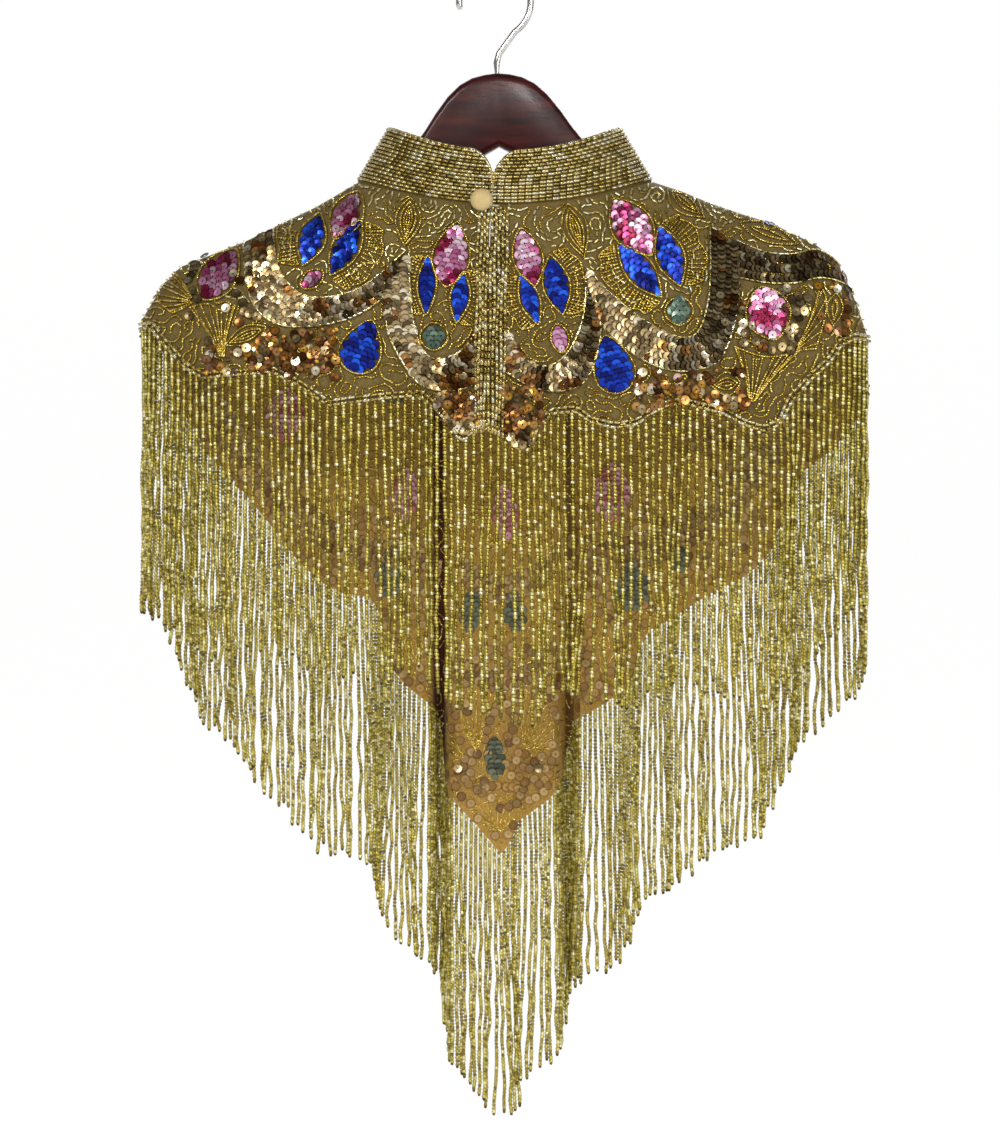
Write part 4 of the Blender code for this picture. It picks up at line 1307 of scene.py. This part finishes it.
# The back's layout: leaves as base, tip and width; ruffles as start and end round the leaf, depth and lobes
backLeaves = (
    ("pink", (-89, -150), (-75.5, -125), 16, 0.5, 0.8, ()),
    ("blue", (-106.5, -164.5), (-97.5, -137), 14, 0.5, 1.0, ((0.05, 0.47, 11, 3),)),
    ("blue", (-91, -170), (-74.5, -141), 14, 0.5, 1.0, ((0.55, 0.98, 11, 4),)),
    ("pink", (-107, -177), (-96.5, -169.5), 8, 0.5, 0.65, ()),
    ("pink", (-27, -176.5), (-20.5, -142), 19.5, 0.45, 0.9, ()),
    ("blue", (-38, -192), (-37, -161), 9, 0.5, 1.0, ((0.06, 0.46, 7.5, 3),)),
    ("blue", (-21, -196.5), (-17, -170), 9.5, 0.5, 1.0, ((0.54, 0.96, 7.5, 3),)),
    ("green", (-33.5, -212), (-33.5, -198.5), 13.5, 0.5, 0.55, ()),
    ("blue", (-79, -224.5), (-68.5, -197), 22, 0.36, 0.75, ()),
    ("pink", (-163, -183.5), (-144.5, -157.5), 19, 0.45, 0.75, ()),
    ("pink", (23, -176), (15, -145.5), 15, 0.5, 0.85, ()),
    ("blue", (38.5, -192), (31.5, -160.5), 13.5, 0.5, 1.0, ((0.54, 0.97, 8.5, 4),)),
    ("blue", (24.5, -197.5), (15.5, -171.5), 9.5, 0.5, 1.0, ((0.05, 0.46, 7, 3),)),
    ("pink", (38.5, -213.5), (35.5, -199), 8.5, 0.5, 0.65, ()),
    ("pink", (87.5, -159), (67, -129), 21, 0.5, 0.85, ()),
    ("blue", (93, -182.5), (70, -154), 14, 0.5, 1.0, ((0.04, 0.48, 11, 4),)),
    ("blue", (104, -176), (93, -144.5), 14.5, 0.5, 1.0, ((0.53, 0.97, 11, 4),)),
    ("green", (103.5, -198), (103.5, -184), 14, 0.5, 0.55, ()),
    ("blue", (70.5, -236), (62.5, -205.5), 21.5, 0.36, 0.75, ()),
    ("pink", (157.5, -206), (149.5, -178.5), 23.5, 0.5, 0.65, ()),
    ("red", (141.5, -137.5), (133, -134.5), 4.5, 0.5, 0.8, ()),
    ("blue", (157.5, -143.5), (150.5, -140.5), 4.5, 0.5, 0.8, ()),
)
backGold = (
    ((-50, -154), (-46.5, -127.5), 14), ((-150.5, -210), (-127.5, -200), 10.5),
    ((50.5, -160.5), (41, -131), 14), ((117.5, -138.5), (97, -122), 13),
    ((170, -153.5), (138, -141.5), 10), ((121.5, -232.5), (138, -231), 13), ((190, -199), (191.5, -181), 9),
)
backFans = (
    ((-168, -185.5), ((-180, -168), (-188, -176), (-188.5, -186), (-180, -192)), 9),
    ((-151.5, -220), ((-170, -189), (-160, -186), (-152, -192), (-145, -188)), 9),
    ((143.5, -245), ((135, -211), (150, -217), (162, -216), (171, -213)), 11),
    ((168, -214), ((183, -176.5), (187, -186), (184, -200), (180, -212)), 7),
)
backSwags = (
    (((-123.5, -143.5), (-122.5, -164), (-114, -178), (-103, -184), (-85, -182.5), (-69.5, -175.5), (-50.5, -158)),
     ((-140, -152), (-139.5, -173.5), (-134, -190.5), (-120, -200), (-97.5, -199.5), (-78, -194.5), (-60, -183),
      (-50, -165))),
    (((-47.5, -160), (-47, -182), (-45.5, -196), (-41.5, -210), (-36.5, -217), (-29, -218), (-17.5, -213.5),
      (-9.5, -202)),
     ((-60.5, -184), (-61, -195), (-58, -208.5), (-46.5, -227.5), (-38.5, -234), (-26, -236), (-15, -234),
      (-10, -231))),
    (((8.5, -203), (13, -213), (20, -220.5), (30, -222.5), (40, -217), (47, -204.5), (51, -190.5), (51.5, -172)),
     ((8.5, -226), (19, -233), (30, -236), (45.5, -235), (54, -227), (59.5, -210), (60, -196), (54, -174))),
    (((53, -168), (62, -178), (76, -190.5), (90, -200), (104, -206.5), (114, -204.5), (119.5, -190.5),
      (121.5, -171), (121, -145)),
     ((55, -177), (60, -199), (73.5, -211.5), (87.5, -221), (104, -225.5), (121, -222.5), (128.5, -216.5),
      (135, -199), (138, -173.5), (136, -153))),
    (((137, -152), (152, -158.5), (168.5, -159.5), (180, -155.5), (190, -161), (197, -170)),
     ((138.5, -172.5), (146, -174), (154.5, -175.5), (170, -175.5), (181, -172), (189.5, -173), (197, -176))),
)


def layOutBack():
    work = Beadwork(-1, 5, 0.0)
    draw = work.draw

    def petal(x, z):
        return "red" if noise.noise(Vector((x * 0.09, z * 0.09, 6.0))) > 0.16 else "pink"

    def brown(x, z):
        return draw.choice(("amberCup", "amberCup", "brown", "brown", "amberBead", "bronze"))

    def swagMix(x, z):
        slit = abs(x) < 30 and z < -212
        return "brown" if noise.noise(Vector((x * 0.11, z * 0.11, 7.0))) > (0.0 if slit else 0.33) else "bronze"

    for kind, base, tip, width, belly, blunt, ruffles in backLeaves:
        work.leaf(kind, base, tip, width, belly, blunt, 0.0, petal if kind == "pink" else None, ruffles)
    for base, tip, width in backGold:
        work.goldLeaf(base, tip, width)
    for root, rim, rows in backFans:
        work.fan(root, rim, rows)
    for inner, outer in backSwags:
        work.swag(inner, outer, swagMix)
    scatterBoxes = (
        ((-162, -88), (-228, -201), 300, brown), ((-172, -122), (-198, -150), 110, swagMix),
        ((-32, -7), (-262, -232), 260, brown), ((5, 26), (-268, -234), 240, brown),
        ((80, 142), (-246, -224), 230, brown), ((138, 176), (-214, -178), 110, swagMix),
        ((178, 200), (-204, -172), 110, brown), ((51, 62), (-228, -196), 70, brown),
    )
    for across, down, count, mix in scatterBoxes:
        work.scatter((across, down), count, mix)
    work.worms((-200, 210), (-275, -110))
    work.sew("back")


def layOutFront():
    # The long front: the same kinds of motifs, the upper ones as on the back with left and right exchanged.
    work = Beadwork(1, 9, -1.3)
    draw = work.draw
    flip = 12.0

    def petal(x, z):
        return "red" if noise.noise(Vector((x * 0.08, z * 0.08, 5.0))) > 0.15 else "pink"

    def brown(x, z):
        return draw.choice(("amberCup", "brown", "brown", "bronze", "bronze"))

    def swagMix(x, z):
        return "brown" if noise.noise(Vector((x * 0.09, z * 0.09, 3.0))) > 0.2 else "bronze"

    def mirror(point, drop=0.0):
        return flip - point[0], point[1] - drop

    for kind, base, tip, width, belly, blunt, ruffles in backLeaves:
        if abs(base[0] - 6) > 62:
            swapped = [(1 - end, 1 - start, depth, lobes) for start, end, depth, lobes in ruffles]
            work.leaf(kind, mirror(base, 4), mirror(tip, 4), width, belly, blunt, 0.0,
                      petal if kind == "pink" else None, swapped)
    for base, tip, width in backGold:
        if abs(base[0] - 6) > 62:
            work.goldLeaf(mirror(base, 4), mirror(tip, 4), width)
    for inner, outer in (backSwags[0], backSwags[3], backSwags[4]):
        work.swag([mirror(p, 4) for p in inner], [mirror(p, 4) for p in outer], swagMix)
    for kind, base, tip, width, belly, ruffles in frontLeaves:
        work.leaf(kind, base, tip, width, belly, 0.75, 0.0, petal if kind == "pink" else None, ruffles)
    for base, tip, width in frontGold:
        work.goldLeaf(base, tip, width)
    for root, rim, rows in frontFans:
        work.fan(root, rim, rows)
    for inner, outer in frontSwags:
        work.swag(inner, outer, swagMix)
    for across, down, count in (((-178, -100), (-345, -250), 500), ((-100, -40), (-420, -300), 500),
                                ((-26, 36), (-490, -380), 620), ((44, 100), (-420, -300), 500),
                                ((100, 190), (-345, -250), 500)):
        work.scatter((across, down), count, brown, 3.4)
    work.worms((-200, 210), (-500, -120), 2.8)
    for x, z in ((-21, -450), (26, -450)):  # two lie open on the inside
        spot, up = onPanel(1, x * mm, z * mm, -2.6 * mm)
        work.backs.setdefault("glint", []).append((spot, (-up + Vector((-0.1, 0, 0.25))).normalized()))
    sewSequins("frontGlints", work.backs.pop("glint"), "sequin", "bronze", 0.1, 99)
    work.sew("front")


frontLeaves = (
    ("pink", (-120, -262), (-118, -232), 24, 0.45, ()),
    ("pink", (68, -308), (67, -274), 24, 0.45, ()),
    ("pink", (8, -318), (5, -286), 16, 0.45, ((0.05, 0.46, 8, 3), (0.54, 0.95, 8, 3))),
    ("pink", (-52, -308), (-50, -276), 18, 0.45, ()),
    ("green", (-60, -352), (-58, -322), 22, 0.42, ((0.05, 0.46, 8, 3),)),
    ("green", (80, -360), (79, -330), 22, 0.42, ((0.54, 0.95, 8, 3),)),
    ("green", (108, -338), (104, -322), 14, 0.5, ()),
    ("green", (-14, -372), (-12, -346), 15, 0.42, ()),
    ("green", (13, -372), (11, -346), 15, 0.42, ()),
    ("green", (0.5, -457), (0, -430), 13, 0.42, ()),
)
frontGold = (
    ((6, -272), (6, -238), 12), ((-140, -290), (-132, -262), 12), ((148, -300), (142, -270), 12),
    ((-45, -395), (-50, -368), 13), ((62, -395), (64, -368), 13), ((-80, -340), (-82, -322), 10),
    ((-92, -312), (-88, -278), 15), ((120, -302), (112, -268), 15), ((-24, -264), (-20, -230), 13),
    ((36, -264), (32, -230), 13),
)
frontFans = (
    ((-10, -442), ((-18, -428), (-20, -414), (-10, -404), (3, -406)), 11),
    ((17, -440), ((34, -434), (34, -420), (28, -410), (18, -405)), 10),
    ((-17, -444), ((-27, -441), (-27.5, -432), (-26, -424)), 6),
    ((2, -488), ((-14, -474), (-6, -469), (8, -469), (18, -476)), 9),
)
frontSwags = (
    (((-168, -214), (-150, -245), (-128, -276), (-104, -300), (-76, -318), (-52, -318), (-30, -330)),
     ((-176, -232), (-160, -262), (-138, -292), (-112, -317), (-78, -335), (-50, -336), (-32, -346))),
    (((180, -214), (162, -245), (140, -276), (116, -300), (90, -314), (64, -318), (42, -330)),
     ((190, -232), (172, -262), (150, -292), (124, -317), (92, -335), (62, -336), (44, -346))),
    (((-20, -326), (-8, -336), (4, -340), (18, -336), (32, -326)),
     ((-20, -342), (-8, -352), (4, -356), (18, -352), (32, -342))),
    (((-24, -382), (-12, -390), (4, -394), (20, -390), (36, -382)),
     ((-24, -394), (-12, -402), (4, -407), (20, -402), (36, -394))),
)


# Button, loop and hanger
def buildButton():
    # A covered button: a turned dome whose satin is gathered under the rim.
    place = Vector((-6.8 * mm, -44.6 * mm, -132.5 * mm))
    radius = 6.1 * mm
    profile = [(0.9, 0.05), (0.985, 0.55), (1.0, 1.1), (0.97, 1.9), (0.88, 2.75), (0.72, 3.5), (0.5, 4.05),
               (0.25, 4.33), (0.0, 4.4)]
    around = 48
    points, faces = [], []
    for share, out in [(0.30, -2.2), (0.30, 0.0), (0.75, 0.0)] + profile[:-1]:
        for i in range(around):
            turn = 2 * math.pi * i / around
            pucker = 1 + 0.012 * math.sin(turn * 16) * max(0, 1 - out / 1.6) if out > 0 else 1
            points.append(place + Vector((radius * share * pucker * math.cos(turn), -out * mm,
                                          radius * share * pucker * math.sin(turn))))
    rings = len(points) // around
    for r in range(rings - 1):
        for i in range(around):
            j = (i + 1) % around
            faces.append((r * around + i, r * around + j, (r + 1) * around + j, (r + 1) * around + i))
    points.append(place + Vector((0, -4.4 * mm, 0)))
    for i in range(around):
        faces.append(((rings - 1) * around + i, (rings - 1) * around + (i + 1) % around, len(points) - 1))
    faces.append(tuple(range(around))[::-1])
    button = meshObject("coveredButton", points, faces)
    fixNormals(button, 60)
    finishPiece(button, materials["button"], ("button",))
    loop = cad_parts["button_loop"]
    loop.data.materials.clear()
    loop.data.materials.append(materials["cord"])


def fixNormals(obj, sharp=40):
    work = bmesh.new()
    work.from_mesh(obj.data)
    bmesh.ops.remove_doubles(work, verts=work.verts, dist=1e-6)
    bmesh.ops.recalc_face_normals(work, faces=work.faces)
    work.to_mesh(obj.data)
    work.free()
    obj.data.shade_smooth()
    obj.data.set_sharp_from_angle(angle=math.radians(sharp))


hangerSpec = {"tilt": math.radians(1.67), "thick": 15 * mm, "wire": 1.9 * mm, "bow": 20 * mm}
hangerHalf = table(
    "x top bottom",
    (0, -58, -99), (7, -58.5, -103), (18, -61.5, -110), (29, -71, -117), (36, -81, -121.5),
    (43, -92, -126), (56, -107, -133.5), (70, -116.5, -141), (82, -122.5, -147),
    (105, -133.2, -157.5), (130, -143.4, -167), (155, -153.8, -176), (168, -159.2, -180),
    (174, -163.5, -180.5), (178, -169.5, -176),
)


def buildHanger():
    tilt = Matrix.Rotation(-hangerSpec["tilt"], 4, "Y")
    end = hangerHalf["x"][-1]
    half = hangerSpec["thick"] / 2
    places = sorted({round(sign * end * math.sin(math.pi / 2 * i / 40), 6) for i in range(41) for sign in (-1, 1)})
    points, faces = [], []
    around = 24
    for x in places:
        reach = 2.5 * mm if abs(x) > 4 * mm else 1.0 * mm
        top = (read(hangerHalf, abs(x) - reach, "top") + read(hangerHalf, abs(x) + reach, "top")) / 2
        bottom = (read(hangerHalf, abs(x) - reach, "bottom") + read(hangerHalf, abs(x) + reach, "bottom")) / 2
        tall, middle = (top - bottom) / 2, (top + bottom) / 2
        round_ = min(0.42 * hangerSpec["thick"], tall * 0.7)
        for i in range(around):
            turn = 2 * math.pi * (i + 0.5) / around
            c, s = math.cos(turn), math.sin(turn)
            y = math.copysign(abs(c) ** 0.55, c) * half
            z = math.copysign(1, s) * (tall - round_) + math.copysign(abs(s) ** 0.8, s) * round_
            points.append(tilt @ Vector((x, y, middle + z)))
    for r in range(len(places) - 1):
        for i in range(around):
            j = (i + 1) % around
            faces.append((r * around + i, r * around + j, (r + 1) * around + j, (r + 1) * around + i))
    faces.append(tuple(range(around))[::-1])
    faces.append(tuple((len(places) - 1) * around + i for i in range(around)))
    wood = meshObject("hangerWood", points, faces)
    fixNormals(wood, 55)
    finishPiece(wood, materials["wood"], ("hanger_body",))

    radius, bow = hangerSpec["wire"], hangerSpec["bow"]
    centre = Vector((0, 0, radius - bow))
    foot = hangerHalf["top"][0] - 1 * mm
    line = [Vector((0, 0, foot)), Vector((0, 0, foot + 7 * mm)), Vector((1.5 * mm, 0, foot + 12 * mm))]
    for i in range(45):
        turn = math.radians(-58 + 248 * i / 44)
        line.append(centre + bow * Vector((math.cos(turn), 0, math.sin(turn))))
    wire = tubeMesh("hangerWire", [tilt @ p for p in line], radius, 16)
    finishPiece(wire, materials["wire"], ("hanger_hook",))


def tubeMesh(name, line, radius, sides):
    points, faces = [], []
    across = Vector((0, 1, 0))
    for i, point in enumerate(line):
        along = (line[min(i + 1, len(line) - 1)] - line[max(i - 1, 0)]).normalized()
        side = along.cross(across).normalized()
        up = side.cross(along)
        shrink = 0.6 if i in (0, len(line) - 1) else 1.0
        for k in range(sides):
            turn = 2 * math.pi * k / sides
            points.append(point + radius * shrink * (side * math.cos(turn) + up * math.sin(turn)))
    for r in range(len(line) - 1):
        for k in range(sides):
            j = (k + 1) % sides
            faces.append((r * sides + k, r * sides + j, (r + 1) * sides + j, (r + 1) * sides + k))
    faces.append(tuple(range(sides))[::-1])
    faces.append(tuple((len(line) - 1) * sides + k for k in range(sides)))
    obj = meshObject(name, points, faces)
    fixNormals(obj, 50)
    return obj


# Floor and backdrop
stageSpec = {"floor": -0.95, "back": 6.0, "front": -8.0, "half": 8.0, "bend": 1.8, "high": 7.0}


def buildStage():
    points, faces = [], []
    line = [(stageSpec["front"], stageSpec["floor"]), (stageSpec["back"] - stageSpec["bend"], stageSpec["floor"])]
    for i in range(1, 17):
        turn = math.pi / 2 * i / 16
        line.append((stageSpec["back"] - stageSpec["bend"] + stageSpec["bend"] * math.sin(turn),
                     stageSpec["floor"] + stageSpec["bend"] * (1 - math.cos(turn))))
    line.append((stageSpec["back"], stageSpec["high"]))
    for y, z in line:
        points += [(-stageSpec["half"], y, z), (stageSpec["half"], y, z)]
    for i in range(len(line) - 1):
        faces.append((2 * i, 2 * i + 1, 2 * i + 3, 2 * i + 2))
    stage = meshObject("paleFloor", points, faces)
    material, nodes, links, shader = newMaterial("paleFloor")
    shader.inputs["Base Color"].default_value = (0.12, 0.12, 0.12, 1)
    shader.inputs["Emission Color"].default_value = (1, 1, 1, 1)
    shader.inputs["Emission Strength"].default_value = 0.93
    setShader(shader, rough=0.9)
    stage.data.materials.append(material)


buildCamera()
buildLight()
buildMaterials()
buildBeadShapes()
print("camera, light, materials and bead shapes")
buildCloth()
print("cloth")
buildFringe()
print("fringe")
buildCollar()
buildPlacket()
buildHemTrim()
print("collar and trims")
layOutBack()
layOutFront()
print("beadwork")
buildButton()
buildHanger()
buildStage()
print("button, hanger and stage")
for shape in beads.values():
    bpy.data.objects.remove(shape)

sizes = {o.name: sum(len(p.vertices) - 2 for p in o.data.polygons) for o in scene.objects if o.type == "MESH"}
print("triangles", sum(sizes.values()), "most", sorted(sizes.items(), key=lambda item: -item[1])[:6])
